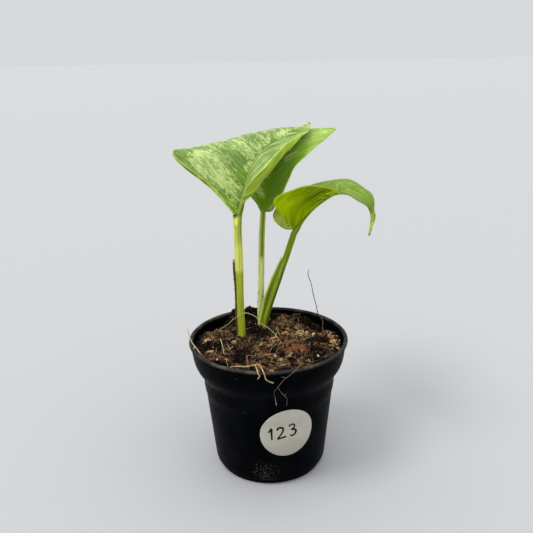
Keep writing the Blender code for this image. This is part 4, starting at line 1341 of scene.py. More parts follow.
    def fibre(self, x: float, y: float, length: float, curl: float, thick: float,
              lift: float) -> np.ndarray:
        """Draws one fibre that lies on the soil.

        Args:
            x: where it starts.
            y: where it starts.
            length: its length.
            curl: how sharply it turns, in radians a step.
            thick: its radius in the middle.
            lift: how high it may arch.

        Returns:
            Its vertices, four round each of its rings.
        """
        rings = self.fibre_rings
        heading = self.draw.uniform(0, 2 * math.pi)
        bend = self.draw.uniform(-curl, curl)
        line = []
        for step in range(rings):
            if math.hypot(x, y) > self.spread:
                heading += math.pi * 0.6
            arch = lift * math.sin(math.pi * step / (rings - 1))
            line.append(on_soil(x, y, 0.75 + arch + self.draw.uniform(-0.1, 0.35)))
            x += length / rings * math.cos(heading)
            y += length / rings * math.sin(heading)
            inwards = min(self.fibre_reach / math.hypot(x, y), 1)
            x, y = x * inwards, y * inwards
            heading += bend + self.draw.uniform(-curl, curl) * 0.6
        line = np.array(line)
        ahead = unit(np.gradient(line, axis=0))
        beside = unit(np.cross(ahead, np.array([0.0, 0.0, 1.0])))
        above = np.cross(beside, ahead)
        girth = thick * np.sin(np.linspace(0.15, math.pi - 0.15, rings))[:, None]
        sides = [line + away * girth for away in (beside, above, -beside, -above)]
        return np.stack(sides, 1).reshape(-1, 3)

    def fibre_faces(self) -> list[tuple]:
        """The faces of one fibre: its two ends and its four sides."""
        last = 4 * (self.fibre_rings - 1)
        faces = [(0, 1, 2, 3), (last + 3, last + 2, last + 1, last)]
        for ring in range(0, last, 4):
            for side in range(4):
                low, beside = ring + side, ring + (side + 1) % 4
                faces.append((low + 4, beside + 4, beside, low))
        return faces

    def laid_fibres(self) -> Iterator[Lump]:
        """Lays fine fibres all over the soil, and curly ones in clumps."""
        draw = self.draw
        for _ in range(self.fibres):
            x, y = self.spot(self.fibre_spread)
            if draw.random() < 0.8 * soil_tone(Tone.DUSKY, x, y):
                continue
            strand = self.fibre(x, y, draw.uniform(2, 9), 0.2, draw.uniform(0.05, 0.12),
                                draw.uniform(0, 0.9))
            yield strand, draw.betavariate(1.2, 1.8)
        for middle_x, middle_y, radius, count, tint in self.fibre_clumps:
            for _ in range(count):
                x, y = middle_x + draw.gauss(0, radius / 2), middle_y + draw.gauss(0, radius / 2)
                strand = self.fibre(x, y, draw.uniform(1.5, 4.5), 0.5, draw.uniform(0.07, 0.15),
                                    draw.uniform(0.2, 1.8))
                yield strand, min(max(draw.gauss(tint, 0.15), 0), 1)


STEM_FOOT = 42.0


@dataclass
class Leaf:
    """One leaf: its stalk, which runs on as the midrib, and its blade."""
    name: str
    slot: Slot
    upper: LeafFinish
    under: UndersideFinish
    stalk_finish: StalkFinish
    stalk: tuple
    stalk_radius: tuple
    midrib: tuple
    left: tuple
    right: tuple
    left_bow: tuple
    right_bow: tuple
    waves: int
    vein_lean: float = 0.26
    right_slope: float = 1.0
    right_draw: float = 1.0
    right_quilt: float = 1.0
    rib_fade: tuple[float, float] = (0.5, 1.0)
    vein_count: float = 34.0
    quilt: float = 0.08
    rib_strength: float = 0.7
    margin_strength: float = 0.6
    edge_wave: float = 0.2
    left_roll: tuple = (0, 0)
    roll_share: float = 0.12
    roll_turn: float = math.radians(150)
    thickness: float = 0.42
    rows: int = 210
    columns: int = 124
    rib_start: float = 0.02
    rib_reach: float = 0.86
    rib_foot_share: float = 0.95
    rib_taper: float = 1.6
    rib_tip_radius: float = 0.3
    stalk_rings: int = 190
    stalk_sides: int = 28
    background: dict[Tone, float] = field(default_factory=dict)
    # patches of each tone, later ones over earlier ones: (along, across, long, wide, strength)
    patches: dict[Tone, tuple] = field(default_factory=dict)

    def surface(self, along: np.ndarray, across: np.ndarray) -> tuple[np.ndarray, np.ndarray, np.ndarray]:
        """Places points of the blade's plain form.

        Args:
            along: 0 at the stalk to 1 at the tip.
            across: -1 at the left edge to 1 at the right.

        Returns:
            The points, the direction of the upper side, and the distance from the midrib.
        """
        rib = smooth(self.midrib, along)
        ahead = smooth(self.midrib, along + 0.002) - smooth(self.midrib, along - 0.002)
        on_left = across < 0
        edge = np.where(on_left[:, None], smooth(self.left, along), smooth(self.right, along))
        bow = np.where(on_left, smooth(self.left_bow, along), smooth(self.right_bow, along))
        roll = np.maximum(np.where(on_left, smooth(self.left_roll, along), 0), 0)
        upward = unit(np.cross(ahead, edge - rib) * np.where(on_left, 1, -1)[:, None])
        span = np.maximum(np.linalg.norm(edge - rib, axis=1), 0.01)
        flat_share = 1 - self.roll_share * np.minimum(roll, 1)
        reach = np.minimum(np.abs(across) / flat_share, 1) * (1 - roll / span)
        past = (np.abs(across) - flat_share) / np.maximum(1 - flat_share, 1e-6)
        curl = np.clip(past, 0, 1) * self.roll_turn
        swing = np.sin(2 * math.pi * self.waves * along) * np.sin(math.pi * along)
        wave = self.edge_wave * swing * reach ** 3
        lift = bow * 4 * reach * (1 - reach) + wave
        slope = (bow * 4 * (1 - 2 * reach) / span)[:, None]
        sideways = (edge - rib) / span[:, None]
        outward = unit(sideways + upward * slope)
        inward_up = unit(upward - sideways * slope)
        points = rib + (edge - rib) * reach[:, None] + upward * lift[:, None]
        points += outward * (roll * np.sin(curl))[:, None]
        points += inward_up * (roll * (1 - np.cos(curl)))[:, None]
        return points, inward_up, span * reach

    def relief(self, along: np.ndarray, across: np.ndarray, far: np.ndarray,
               flow: np.ndarray) -> np.ndarray:
        """How far the blade stands up between its side veins and sinks along its midrib."""
        reach = np.abs(across)
        veins = np.abs(np.sin(math.pi * self.vein_count * flow)) ** 0.7 - 0.6
        fade = ramp(far, 0.5, 3.0) * ramp(1 - reach, 0.0, 0.18) * ramp(np.minimum(along, 1 - along), 0, 0.06)
        seeded = np.stack([along * 9, across * 2.2, np.full(len(along), float(len(self.name)))], 1)
        swell = 0.30 * ripple(seeded, 1.0, 2.5) * ramp(far, 1.0, 6.0) * ramp(1 - reach, 0.0, 0.2)
        channel = -0.32 * np.exp(-(far / 0.65) ** 2) * ramp(1 - along, 0.0, 0.2)
        side = np.where(across > 0, self.right_quilt, 1.0)
        return side * (self.quilt * veins * fade + swell) + channel

    def blade(self) -> None:
        """Models the blade and paints its patches."""
        sheet = Sheet(self.name + "_blade", self.rows, self.columns)
        along, across = sheet.along, sheet.across
        points, upward, far = self.surface(along, across)
        reach = np.abs(across)
        widest = far.max()
        length = run(smooth(self.midrib, np.linspace(0, 1, 60)))
        leant = (along - self.right_slope * far / length) / math.hypot(1, self.right_slope)
        flow = np.where(across < 0, along - self.vein_lean * (far / widest) ** 1.4, leant)
        flat = (1 - ramp(reach, 0.86, 0.9)) if max(self.left_roll) > 0 else 1.0
        points = points + upward * (self.relief(along, across, far, flow) * flat)[:, None]
        sheet.place(points)
        drawn = np.where(across > 0, self.right_draw, -1.0)
        sheet.lay("flow", flow * length / 10, drawn * far / 10)
        for tone in (Tone.CREAM, Tone.PALE, Tone.VIVID, Tone.DUSKY):
            sheet.paint(tone, self.tone_at(tone, along, across))
        rib = self.rib_strength * np.exp(-(far / 0.32) ** 2) * (1 - ramp(along, *self.rib_fade))
        margin = self.margin_strength * ramp(reach, 0.975, 0.995)
        sheet.paint(Tone.RIB, np.maximum(rib, margin))
        dress(sheet.item, self.upper, self.under)
        apply_modifier(sheet.item, "SOLIDIFY", thickness=self.thickness * MM, offset=0.0, material_offset=1,
                       material_offset_rim=0)
        shade(sheet.item, 60)
        settle(sheet.item, self.slot, self.name)

    def tone_at(self, tone: Tone, along: np.ndarray, across: np.ndarray) -> np.ndarray:
        """How strong a tone is at places on the blade."""
        total = np.full(len(along), self.background.get(tone, 0.0))
        for middle, beside, long, wide, strength in self.patches.get(tone, ()):
            far = ((along - middle) / long) ** 2 + ((across - beside) / wide) ** 2
            share = np.exp(-far ** 1.5)
            total = total * (1 - share) + strength * share
        return total

    def skin(self, height: float, turn: float, lift: float) -> Point:
        """Finds a place on the stalk's skin.

        Args:
            height: its height.
            turn: its turn round the stalk, 0 towards the viewer.
            lift: how far it stands off the skin.

        Returns:
            The place.
        """
        places = np.linspace(0, 1, 200)
        line = smooth(self.stalk, places)
        near = int(np.argmin(np.abs(line[:, 2] - height)))
        reach = smooth(self.stalk_radius, places)[near] + lift
        return tuple(line[near] + reach * np.array([math.sin(turn), -math.cos(turn), 0.0]))

    def stem_line(self) -> tuple[np.ndarray, np.ndarray]:
        """The line of the stalk and then of the midrib's underside, and the radius along it."""
        stalk_places = np.linspace(0, 1, 2 * len(self.stalk))
        rib_places = np.linspace(self.rib_start, self.rib_reach, 14)
        beside = np.full(len(rib_places), 0.001)
        rib, left_up, _ = self.surface(rib_places, -beside)
        _, right_up, _ = self.surface(rib_places, beside)
        thinning = (1 - rib_places / self.rib_reach) ** self.rib_taper
        foot = self.stalk_radius[-1] * self.rib_foot_share
        rib_radii = self.rib_tip_radius + (foot - self.rib_tip_radius) * thinning
        sunk = rib_radii * (0.55 + 0.4 * ramp(rib_places, self.rib_start, 0.12)) + 0.15
        rib = rib - unit(left_up + right_up) * sunk[:, None]
        line = np.concatenate([smooth(self.stalk, stalk_places), rib])
        return line, np.concatenate([smooth(self.stalk_radius, stalk_places), rib_radii])

    def stem(self) -> None:
        """Models the stalk and the midrib as one stem."""
        line, radii = self.stem_line()
        tube = Tube(self.name + "_stalk", line, radii, self.stalk_rings, self.stalk_sides)
        height = tube.centre[tube.row][:, 2]
        self.shape_stem(tube, height)
        dress(tube.item, self.stalk_finish)
        settle(tube.finish(), self.slot, self.name)

    def shape_stem(self, tube: Tube, height: np.ndarray) -> None:
        """Gives the stem its flutes and its tones."""
        raise NotImplementedError

    def build(self) -> None:
        """Makes the blade and the stem."""
        self.blade()
        self.stem()


class MarbledLeaf(Leaf):
    """The marbled leaf on the left, folded along its midrib."""

    def shape_stem(self, tube: Tube, height: np.ndarray) -> None:
        """A pale stalk with a knob under the blade, a seam half-way up and a shaded right side."""
        on_stalk = tube.row < tube.row.max() * 0.62
        knob = np.exp(-((height - 119.6) / 1.7) ** 2 - ((tube.turn + 0.2) / 0.5) ** 2) * on_stalk
        flutes = 0.04 * np.sin(9 * tube.turn + 1) * ramp(height, 60, 64)
        old_seam = 0.10 * ramp(height, 97.5, 96.5) * np.cos(tube.turn * 0.5)
        tube.wrap(0.75 * knob + flutes + old_seam)
        light = 0.15 + 0.8 * ramp(height, 94, 97.5) * (1 - 0.45 * ramp(height, 106, 114))
        tube.paint(Tone.PALE, np.maximum(light * on_stalk, knob * 1.4))
        shaded_side = 0.8 * ramp(tube.turn, 0.1, 0.9) * ramp(height, 106, 117)
        fibre = 0.4 * np.exp(-((tube.turn - 0.15) / 0.14) ** 2) * ramp(height, 106, 112)
        stripe = np.exp(-((tube.turn + 1.15) / 0.3) ** 2) * ramp(height, 98, 92) * 0.8
        wing = ramp(height, 120.5, 122.5)
        dark = np.maximum.reduce([shaded_side, fibre, stripe, wing])
        dot = 1.7 * np.exp(-((height - 122.4) / 0.65) ** 2 - ((tube.turn + 0.45) / 0.4) ** 2)
        tube.paint(Tone.DUSKY, dark * np.clip(1 - 1.4 * knob, 0, 1))
        tube.paint(Tone.RUST, dot)


class DarkLeaf(Leaf):
    """The darker leaf behind it."""

    def shape_stem(self, tube: Tube, height: np.ndarray) -> None:
        """A stalk with a dark line down its front that ends above a whitish stretch."""
        flutes = 0.04 * np.sin(7 * tube.turn) * ramp(height, 60, 64)
        tube.wrap(flutes)
        whitish = ramp(height, 101, 97) * ramp(height, 64, 76)
        edges = 0.8 * ramp(np.abs(tube.turn - 0.1), 0.3, 0.9)
        tube.paint(Tone.PALE, np.maximum(whitish, edges))
        line = 0.8 * np.exp(-((tube.turn - 0.1) / 0.24) ** 2) * ramp(height, 99.0, 100.0)
        tube.paint(Tone.DUSKY, line)


@dataclass
class SheathedLeaf(Leaf):
    """The leaf that arches over to the right, with a winged sheath along its stalk."""
    sheath_foot: float = 0.14
    sheath_top: float = 0.69
    sheath_bulge: float = 0.6
    sheath_edge: tuple = (
        (-5.6, 17.5, 56), (-4.4, 16.9, 66.2), (-3.2, 16.4, 72.2), (-1.7, 15.6, 78.5), (0.4, 14.6, 85.2),
        (3, 13.8, 91.7), (5.8, 12.9, 98), (6.9, 12.6, 100.6))

    def shape_stem(self, tube: Tube, height: np.ndarray) -> None:
        """A green stalk with one light ridge."""
        ridge = np.exp(-((tube.turn + 0.25) / 0.25) ** 2) * ramp(height, 104, 96)
        flutes = 0.03 * np.sin(8 * tube.turn) * ramp(height, 60, 64)
        tube.wrap(0.14 * ridge + flutes)
        tube.paint(Tone.PALE, 0.45 * ridge)
        right_side = 0.75 * ramp(tube.turn, 0.1, 0.6) * ramp(height, 106, 92)
        left_side = 0.4 * ramp(tube.turn, -0.5, -1.1) * ramp(height, 106, 98)
        tube.paint(Tone.DUSKY, np.maximum(right_side, left_side))

    def sheath(self) -> None:
        """Models the thin wing between the stalk and the sheath's free edge."""
        sheet = Sheet(self.name + "_sheath", 110, 26)
        share = (sheet.across + 1) / 2
        inner = smooth(self.stalk, self.sheath_foot + sheet.along * (self.sheath_top - self.sheath_foot))
        outer = smooth(self.sheath_edge, sheet.along)
        ragged = 0.25 * ripple(np.stack([sheet.along * 24, share, share], 1), 1.0, 1.5) * share ** 3
        width = (1 + 0.06 * ragged) * (1 - 0.6 * ramp(sheet.along, 0.93, 1.0) * (1 - share))
        points = inner + (outer - inner) * (share * width)[:, None]
        ribs = 0.07 * np.sin(share * 5 * math.pi)
        points[:, 1] -= self.sheath_bulge * np.sin(math.pi * share) + ribs
        sheet.place(points)
        length = run(smooth(self.sheath_edge, np.linspace(0, 1, 30)))
        sheet.lay("flow", sheet.along * length / 10, share * 0.3)
        sheet.paint(Tone.PALE, np.maximum(ramp(share, 0.70, 0.92), ramp(sheet.along, 0.94, 0.98)))
        sheet.paint(Tone.DUSKY, np.exp(-((share - 0.42) / 0.24) ** 2))
        apply_modifier(sheet.item, "SOLIDIFY", thickness=0.4 * MM, offset=0.0)
        shade(sheet.item, 60)
        dress(sheet.item, self.stalk_finish)
        settle(sheet.item, self.slot, self.name)

    def build(self) -> None:
        """Makes the blade, the stem and the sheath."""
        super().build()
        self.sheath()


LEAF_LEFT = MarbledLeaf(
    name="leaf_left", slot=Slot.LEAF_MARBLED,
    upper=MARBLED_UPPER, under=MARBLED_UNDER, stalk_finish=STALK_PALE,
    stalk=((-13, 8.5, STEM_FOOT), (-13.05, 8, 62), (-13.25, 8, 76), (-13.2, 7.5, 88), (-13.2, 7, 102),
           (-13.25, 6, 115), (-13.2, 6, 121)),
    stalk_radius=(1.4, 1.75, 1.75, 1.70, 2.02, 1.80, 1.98),
    rib_foot_share=1.15, rib_taper=2.2,
    midrib=((-13.5, 6, 123.5), (-12, 10, 128), (-10, 15.5, 133), (-8, 23, 139.5), (-4, 34, 145),
            (1.5, 45, 149), (8.5, 55, 152), (16, 65, 155), (21, 71, 156.5), (25, 75, 157.5)),
    left=((-14.5, 6, 123.5), (-25, 7, 135.5), (-37.5, 8, 146), (-42, 14, 152), (-32, 30, 152),
          (-17.5, 48, 153), (-1, 62, 155.2), (13, 70, 155.8), (19, 73, 155.4), (24.5, 75, 158)),
    right=((-12.5, 6, 123.5), (-10.5, -3, 133), (-7.5, -12, 141), (-2.6, -12, 146), (2.6, -1, 149.5),
           (7.7, 14, 152.5), (13.6, 34, 154), (19.4, 54, 154), (23.5, 66, 154), (25.5, 75, 156.5)),
    left_bow=(0, 1, 2, 3, 3, 2.5, 1.5, 0.5, 0, 0),
    right_bow=(0, -1.5, -4.6, -5.2, -5.8, -5.8, -4.8, -3, -1, 0),
    left_roll=(0.3, 1.3, 1.1, 0.3, 0, 0, 0, 0, 0, 0),
    waves=7, right_slope=4.0, right_draw=0.5, right_quilt=0.25, rib_fade=(0.25, 0.7),
    background={Tone.CREAM: 0.43, Tone.PALE: 0.47, Tone.VIVID: 0.2},
    patches={
        Tone.CREAM: (
            (0.33, -0.72, 0.07, 0.18, 0.62), (0.24, -0.6, 0.06, 0.24, 0.55), (0.2, -0.38, 0.06, 0.3, 0.6),
            (0.12, -0.22, 0.07, 0.18, 0.66), (0.7, -0.18, 0.07, 0.2, 0.62), (0.27, -0.92, 0.16, 0.15, 0),
            (0.41, -0.4, 0.05, 0.18, 0.26), (0.37, -0.18, 0.05, 0.12, 0.15),
            (0.53, -0.34, 0.06, 0.16, 0.36), (0.6, -0.46, 0.06, 0.2, 0.3), (0.31, -0.08, 0.035, 0.07, 0),
            (0.3, 0.4, 0.4, 0.45, 0.42), (0.88, 0.3, 0.14, 0.9, 0.58), (0.45, -0.94, 0.12, 0.08, 0.55),
            (0.42, -0.06, 0.1, 0.06, 0.5), (0.98, -0.3, 0.06, 0.9, 0.62)),
        Tone.PALE: (
            (0.04, -0.5, 0.06, 0.7, 0.25), (0.33, -0.54, 0.07, 0.18, 0.8), (0.27, -0.92, 0.16, 0.15, 0.3),
            (0.41, -0.46, 0.04, 0.14, 0.25), (0.37, -0.2, 0.05, 0.13, 0.12), (0.6, -0.36, 0.06, 0.2, 0.34),
            (0.47, -0.24, 0.06, 0.14, 0.72), (0.31, -0.08, 0.035, 0.07, 0), (0.22, -0.5, 0.07, 0.34, 0.72),
            (0.98, -0.3, 0.06, 0.9, 0.7)),
        # On the right half, which shows its underside, the vivid patches at along 0.36 and 0.85 paint its
        # lit green: painted light.
        Tone.VIVID: (
            (0.31, -0.09, 0.035, 0.08, 1), (0.05, -0.5, 0.06, 0.7, 1), (0.2, -0.3, 0.02, 0.16, 0.9),
            (0.36, 0.7, 0.6, 0.5, 0.45), (0.46, -0.5, 0.04, 0.12, 0.6), (0.85, 0.8, 0.25, 0.8, 1),
            (0.98, -0.3, 0.06, 0.9, 0.1)),
    },
)

LEAF_BACK = DarkLeaf(
    name="leaf_back", slot=Slot.LEAF_DARK,
    upper=DARK_UPPER, under=DARK_UNDER, stalk_finish=STALK_STRIPED,
    stalk=((-3.5, 20.5, STEM_FOOT), (-3.5, 19.5, 62), (-3.5, 19.5, 71), (-3, 20, 87), (-2.5, 20, 101),
           (-2, 20, 112), (-1.5, 20, 118.5)),
    stalk_radius=(1.2, 1.6, 1.75, 1.6, 1.56, 1.44, 1.45),
    midrib=((-1.5, 20, 121), (-0.5, 23, 124.5), (0.5, 28, 129.5), (2.5, 35, 135.5), (6, 45, 141.5),
            (11, 56, 146), (19, 67, 150.5), (29, 75, 153), (39.5, 80, 153.5)),
    left=((-2.5, 20, 121.5), (-5, 26, 125), (-12.5, 36, 132), (-17, 50, 139), (-10, 64, 144),
          (3, 74, 148.5), (16.5, 80, 152), (29, 82, 153), (39, 80.5, 154)),
    right=((-0.5, 20, 121.5), (3, 14, 123.5), (6.8, 9, 131), (10, 12, 136), (13.2, 22, 141),
           (20.5, 38, 145.5), (29, 56, 149), (35, 70, 151), (40, 79.5, 153.5)),
    left_bow=(0, 1, 2, 3, 3, 3, 2, 1, 0),
    right_bow=(0, -1, -2, -2, -2, -1, -1, 0, 0),
    waves=6, rib_strength=0.9, right_slope=1.6, right_draw=0.7, rib_fade=(0.35, 0.6),
    background={Tone.CREAM: 0.10, Tone.PALE: 0.22, Tone.VIVID: 0.1},
    # The patches near the tip, at along 0.86 to 0.9, paint the tip lighter where light falls on it, and the
    # pale patch on the right edge at along 0.66 paints a sheen: painted light.
    patches={
        Tone.CREAM: (
            (0.23, -0.24, 0.07, 0.2, 0.64), (0.38, -0.13, 0.09, 0.14, 0.6), (0.32, 0.96, 0.12, 0.16, 1),
            (0.15, 0.75, 0.06, 0.3, 0.62), (0.6, 0.3, 0.07, 0.35, 0.5), (0.9, 0.3, 0.1, 0.7, 0.32)),
        Tone.PALE: (
            (0.15, 0.75, 0.07, 0.3, 0.8), (0.24, -0.26, 0.07, 0.24, 0.5), (0.88, 0.3, 0.2, 0.9, 0.88),
            (0.66, 0.93, 0.12, 0.1, 0.8), (0.57, 0.5, 0.09, 0.5, 0.05), (0.2, 0.25, 0.1, 0.25, 0)),
        Tone.VIVID: (
            (0.33, 0.9, 0.12, 0.2, 1), (0.86, 0.3, 0.2, 0.9, 0.35), (0.5, -0.6, 0.4, 0.4, 0.5),
            (0.38, 0.75, 0.12, 0.25, 0.8)),
    },
)

LEAF_RIGHT = SheathedLeaf(
    name="leaf_right", slot=Slot.LEAF_GREEN,
    upper=GREEN_UPPER, under=GREEN_UNDER, stalk_finish=STALK_GREEN,
    stalk=((-3.5, 16.5, STEM_FOOT), (-2, 15.5, 63), (0.1, 15, 72), (2.75, 14, 81), (5.55, 12.5, 90),
           (7.25, 11.5, 95.5), (9.2, 10.5, 101), (11.3, 9, 108), (13, 8, 113.5)),
    stalk_radius=(1.2, 1.55, 1.6, 1.7, 1.75, 1.65, 1.55, 1.5, 1.5),
    rib_foot_share=1.0, rib_taper=5.0,
    midrib=((13.5, 8, 116), (15.5, 9, 119), (18.5, 11, 121.5), (22.5, 13.5, 124.5), (27, 16, 127),
            (32, 18, 129.5), (38, 17, 132), (44, 13, 131), (48, 8, 128), (49, 5, 124.5), (49, 2, 121),
            (47, 0, 114)),
    left=((14.5, 8.5, 115.5), (8.5, 14, 114.5), (3.5, 18, 119.5), (9, 29, 125), (20.5, 38, 128.5),
          (32.5, 40, 131), (42.5, 34, 132), (48, 21, 131.5), (50.5, 12, 129), (50, 6, 124.5), (50, 2, 122),
          (47.4, 0.3, 114)),
    right=((12.5, 7, 116.5), (7, 0, 124), (3.5, -6, 132.5), (9.5, -9, 137), (17.5, -10, 139.5),
           (26.5, -8, 138.5), (35.5, -4, 134.5), (42.5, 0, 130), (46.5, 3, 126.5), (47.8, 4, 124),
           (47.8, 2, 121), (46.6, -0.3, 114)),
    left_bow=(0, 1, 2, 3, 4, 3.5, 3, 1, 0, 0, 0, 0),
    right_bow=(0, -1, -2, -3, -3, -2, -1, 0, 0, 0, 0, 0),
    waves=6,
    background={Tone.CREAM: 0.10, Tone.PALE: 0.25, Tone.VIVID: 0.28},
    patches={
        Tone.CREAM: (
            (0.14, -0.9, 0.12, 0.5, 0.85), (0.95, 0, 0.07, 1.4, 0.56), (0.24, 0.95, 0.08, 0.3, 0.42),
            (0.35, 0.33, 0.04, 0.07, 0.8), (0.4, 0.45, 0.035, 0.09, 0.85), (0.45, 0.6, 0.03, 0.12, 0.85),
            (0.5, 0.85, 0.04, 0.2, 0.8)),
        Tone.PALE: (
            (0.14, -0.9, 0.12, 0.5, 0.75), (0.6, -0.1, 0.14, 0.5, 0.45), (0.95, 0, 0.09, 1.4, 0.85)),
        # On the right half, which shows its underside, the vivid tone paints its lit green where light comes
        # through: painted light.
        Tone.VIVID: (
            (0.14, -0.9, 0.14, 0.5, 1), (0.93, 0.2, 0.1, 1.2, 0.9), (0.22, 0.9, 0.13, 0.5, 0.9),
            (0.22, 0.2, 0.1, 0.3, 0.5), (0.4, 0.55, 0.14, 0.6, 0)),
        Tone.DUSKY: ((0.74, 0.3, 0.1, 0.9, 0.35),),
    },
)

LEAVES = (LEAF_LEFT, LEAF_BACK, LEAF_RIGHT)
# dark crumbs that cling to the stalks: (leaf, height, turn, half size)
CLINGING = (
    (LEAF_BACK, 80, -0.95, 0.34), (LEAF_BACK, 81, -0.75, 0.26), (LEAF_BACK, 78, 0.55, 0.26),
    (LEAF_BACK, 78.6, 0.35, 0.2), (LEAF_BACK, 75, -1.3, 0.28), (LEAF_BACK, 76.4, -0.5, 0.16),
    (LEAF_BACK, 72, -1.1, 0.22), (LEAF_BACK, 68, -0.7, 0.2), (LEAF_BACK, 100.2, 0.1, 0.28),
    (LEAF_RIGHT, 89.4, -0.1, 0.34), (LEAF_RIGHT, 90, -0.15, 0.22), (LEAF_LEFT, 84, -1.6, 0.24),
    (LEAF_LEFT, 80.5, -1.5, 0.34), (LEAF_LEFT, 77.8, -1.6, 0.26), (LEAF_LEFT, 75.4, -1.5, 0.34),
    (LEAF_LEFT, 72.4, -1.6, 0.3), (LEAF_LEFT, 69, -1.4, 0.26), (LEAF_LEFT, 66.2, -1.2, 0.22),
    (LEAF_LEFT, 90.4, -1.6, 0.22), (LEAF_LEFT, 64.6, 0.6, 0.3),
)


@dataclass
class DrySheath:
    """The dried, frayed strip of old sheath along the left-hand stalk."""
    clearance: float = 0.42
    foot: float = 56.0
    top: float = 102.8

    def build(self) -> None:
        """Models the strip."""
        places = np.linspace(0, 1, 40)
        line = smooth(LEAF_LEFT.stalk, places)
        line[:, 0] -= smooth(LEAF_LEFT.stalk_radius, places) + self.clearance
        line = line[(line[:, 2] > self.foot) & (line[:, 2] < self.top)]
        tube = Tube("dry_sheath_strip", line, (0.34, 0.50, 0.52, 0.48, 0.52, 0.72, 0.62), 190, 16)
        points = tube.centre[tube.row] + tube.outward() * 0.4
        ragged = 0.24 * crumble(points, 0.9, 4.0, 4) * ramp(points[:, 2], 104, 90)
        tube.wrap(ragged)
        height = tube.centre[tube.row][:, 2]
        tube.paint(Tone.PALE, ramp(height, 99.5, 101.5))
        dress(tube.item, DRY_BROWN)
        settle(tube.finish(), Slot.DRY_SHEATH, "dry_sheath")


@dataclass
class Root:
    """A thin dry root of one or more strands, with a few hairs."""
    name: str
    finish: RootFinish
    slot: Slot
    strands: tuple
    radius: float = 0.30
    tip_share: float = 0.0
    hairs: int = 0
    seed: int = 3

    def build(self) -> None:
        """Models the strands and the hairs as one piece."""
        draw = random.Random(self.seed + len(self.name))
        parts = []
        for number, strand in enumerate(self.strands):
            radii = (self.radius, self.radius * 0.9, self.radius * 0.7)
            tube = Tube(f"{self.name}_{number}", strand, radii, int(run(strand) * 2.2), 10)
            points = tube.centre[tube.row]
            tube.wrap(0.07 * ripple(points, 1.3, number + 0.5))
            part_way = tube.row / tube.row.max()
            tube.paint(Tone.PALE, ramp(part_way, 1 - self.tip_share, 1) if self.tip_share else 0.0)
            parts.append(tube.finish())
            parts.extend(self.hair(tube, draw, number * 100 + hair) for hair in range(self.hairs))
        root = join(self.name + "_strand", parts)
        dress(root, self.finish)
        settle(root, self.slot, self.name)

    def hair(self, root: Tube, draw: random.Random, number: int) -> bpy.types.Object:
        """Models one short root hair."""
        start = root.centre[draw.randrange(int(len(root.centre) * 0.25), int(len(root.centre) * 0.85))]
        away = np.array([draw.gauss(0, 1), draw.gauss(0, 1), abs(draw.gauss(0, 0.5)) + 0.2])
        away *= draw.uniform(0.8, 2.4) / np.linalg.norm(away)
        bend = np.array([draw.uniform(-0.5, 0.5), draw.uniform(-0.5, 0.5), draw.uniform(-0.2, 0.4)])
        line = (start, start + away * 0.5 + bend * 0.3, start + away)
        tube = Tube(f"hair_{number}", line, (0.09, 0.05), 8, 5)
        tube.wrap()
        tube.paint(Tone.PALE, 0.4)
        return tube.finish()


ROOTS = (
    Root("root_arch", ROOT_PALE, Slot.ROOT_TAN, (
        ((-26.5, 17.5, 57), (-25, 16.5, 61), (-20, 11.3, 66.5), (-16.8, 7, 71), (-13.5, 5.2, 74),
         (-10.5, 5, 75), (-6, 5, 73), (-3.5, 5, 69.5), (1, 4, 66.5), (4.5, 2, 63), (5.5, -0.5, 60.5),
         (5.8, -1.5, 57)),
    ), 0.20),
    Root("root_front_fork", ROOT_TAN, Slot.ROOT_TAN, (
        ((-19, -25.5, 59), (-16.5, -27, 62.5), (-10, -29, 63.5), (-6, -30.5, 65), (-4, -33, 66),
         (-3, -36.5, 66), (-2, -38.9, 64.7), (-1.5, -38.9, 62.5), (-0.5, -38.6, 61.4), (2, -38.2, 60)),
        ((-7, -30.2, 64.5), (-6, -33, 66), (-5.2, -36.5, 66), (-4.6, -38.5, 64.8), (-4, -38.6, 63.8),
         (-5, -38.2, 62)),
    ), 0.31, hairs=1),
    Root("root_rim_fork", ROOT_BROWN, Slot.ROOT_BROWN, (
        ((17.5, -27, 58), (16.5, -29, 62.5), (15, -32, 66), (13, -35.5, 66.3), (10.5, -37.8, 65),
         (8.8, -38, 63.5), (6.5, -37.5, 61.5), (5, -37.4, 59.5), (3.2, -37.2, 57), (2, -37, 55),
         (2.3, -36.4, 52.8), (3, -34, 46.5)),
        ((3.6, -37.3, 57.6), (5.2, -36.6, 54.5), (7.5, -35.4, 51), (7.5, -33, 46)),
    ), 0.19, tip_share=0.08, hairs=2),
    Root("root_upright", ROOT_BROWN, Slot.ROOT_BROWN, (
        ((27.6, 14, 57.5), (27.6, 16.5, 61.3), (28, 20, 63.6), (27, 21.5, 65), (25.7, 22.5, 66.9),
         (24.8, 24.5, 71.3), (23.8, 26.5, 75), (22.5, 28, 81.5), (21, 28, 86), (21.5, 28, 89)),
    ), 0.24, hairs=3),
    Root("root_left_rim", ROOT_TAN, Slot.ROOT_TAN, (
        ((-29, -17, 57), (-29.5, -18, 62.5), (-31, -19.5, 65.9), (-33, -15, 66), (-35.5, -9, 66),
         (-37, -4.5, 66.2), (-38.6, 1, 68), (-39.5, 3.5, 70)),
    ), 0.24, tip_share=0.2),
    Root("root_small", ROOT_PALE, Slot.ROOT_TAN, (
        ((-23.5, 5, 57.5), (-23.5, 3, 62.5), (-22, -5, 63.3), (-21, -10.5, 61.5), (-20.4, -13.5, 58)),
    ), 0.22),
)


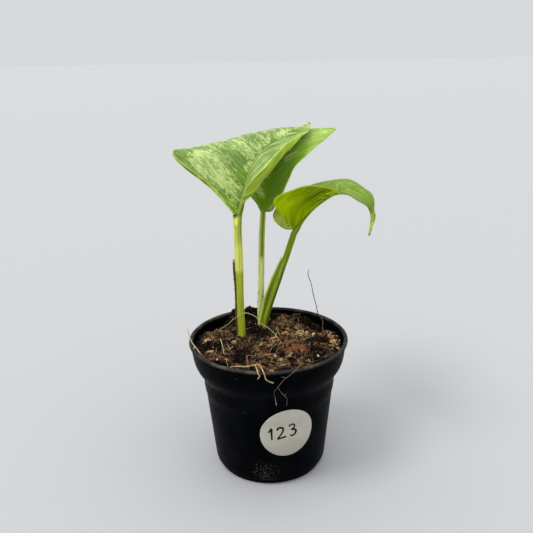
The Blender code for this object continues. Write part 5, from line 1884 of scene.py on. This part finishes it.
@dataclass
class Studio:
    """The plain pale floor, the soft light and the camera."""
    floor_size: float = 30.0
    floor_colour: Colour = (0.395, 0.398, 0.405)
    surround: Colour = (0.97, 0.985, 1.0)
    horizon_light: float = 0.70
    zenith_light: float = 1.7
    camera_place: Point = (-0.0002, -0.2867, 0.1945)
    camera_pitch: float = math.radians(18.22)
    camera_roll: float = math.radians(-1.13)
    key_from: Point = (-0.55, -0.25, 1.0)
    key_power: float = 1.3
    key_spread: float = math.radians(22)
    sensor: float = 36.0
    focal_pixels: float = 650.0
    frame_pixels: float = 533.0

    def build(self) -> None:
        """Sets the camera, the floor and the lights."""
        self.camera()
        self.floor()
        self.surroundings()
        self.key_light()

    def camera(self) -> None:
        """Places the camera at the photograph's angle."""
        lens = bpy.data.cameras.new("camera")
        lens.sensor_width = self.sensor
        lens.lens = self.focal_pixels / self.frame_pixels * self.sensor
        lens.clip_start = 0.01
        lens.dof.use_dof = False
        item = linked("camera", lens)
        item.matrix_world = (Matrix.Translation(self.camera_place)
                             @ Matrix.Rotation(math.pi / 2 - self.camera_pitch, 4, "X")
                             @ Matrix.Rotation(self.camera_roll, 4, "Z"))
        bpy.context.scene.camera = item

    def floor(self) -> None:
        """Lays the floor."""
        floor = primitive("floor", bpy.ops.mesh.primitive_plane_add, size=self.floor_size)
        material = bpy.data.materials.new("floor")
        material.use_nodes = True
        shader = material.node_tree.nodes["Principled BSDF"]
        shader.inputs["Base Color"].default_value = (*self.floor_colour, 1)
        shader.inputs["Roughness"].default_value = 0.8
        floor.data.materials.append(material)

    def surroundings(self) -> None:
        """Fills the room with soft light, brightest overhead."""
        world = bpy.data.worlds.new("room")
        world.use_nodes = True
        wiring = Wiring(world.node_tree)
        direction = wiring.node("ShaderNodeTexCoord", {}).outputs["Generated"]
        strength = wiring.step(wiring.height(direction), 0.12, 1.0, self.horizon_light, self.zenith_light)
        backdrop = world.node_tree.nodes["Background"]
        wiring.feed(backdrop.inputs["Color"], self.surround)
        wiring.feed(backdrop.inputs["Strength"], strength)
        bpy.context.scene.world = world
        bpy.context.scene.view_settings.view_transform = "Standard"

    def key_light(self) -> None:
        """Lights the plant softly from the upper left."""
        lamp = bpy.data.lights.new("key", "SUN")
        lamp.energy = self.key_power
        lamp.angle = self.key_spread
        item = linked("key", lamp)
        item.rotation_euler = (-Vector(self.key_from)).to_track_quat("-Z", "Y").to_euler()


def main() -> None:
    """Builds the studio, the pot and its label, the soil, the leaves and the roots."""
    logging.basicConfig(level=logging.INFO, format="%(name)s: %(message)s")
    Studio().build()
    Pot().build()
    Label().build()
    Soil().build()
    for leaf in LEAVES:
        leaf.build()
    DrySheath().build()
    for root in ROOTS:
        root.build()


if __name__ == "__main__":
    main()
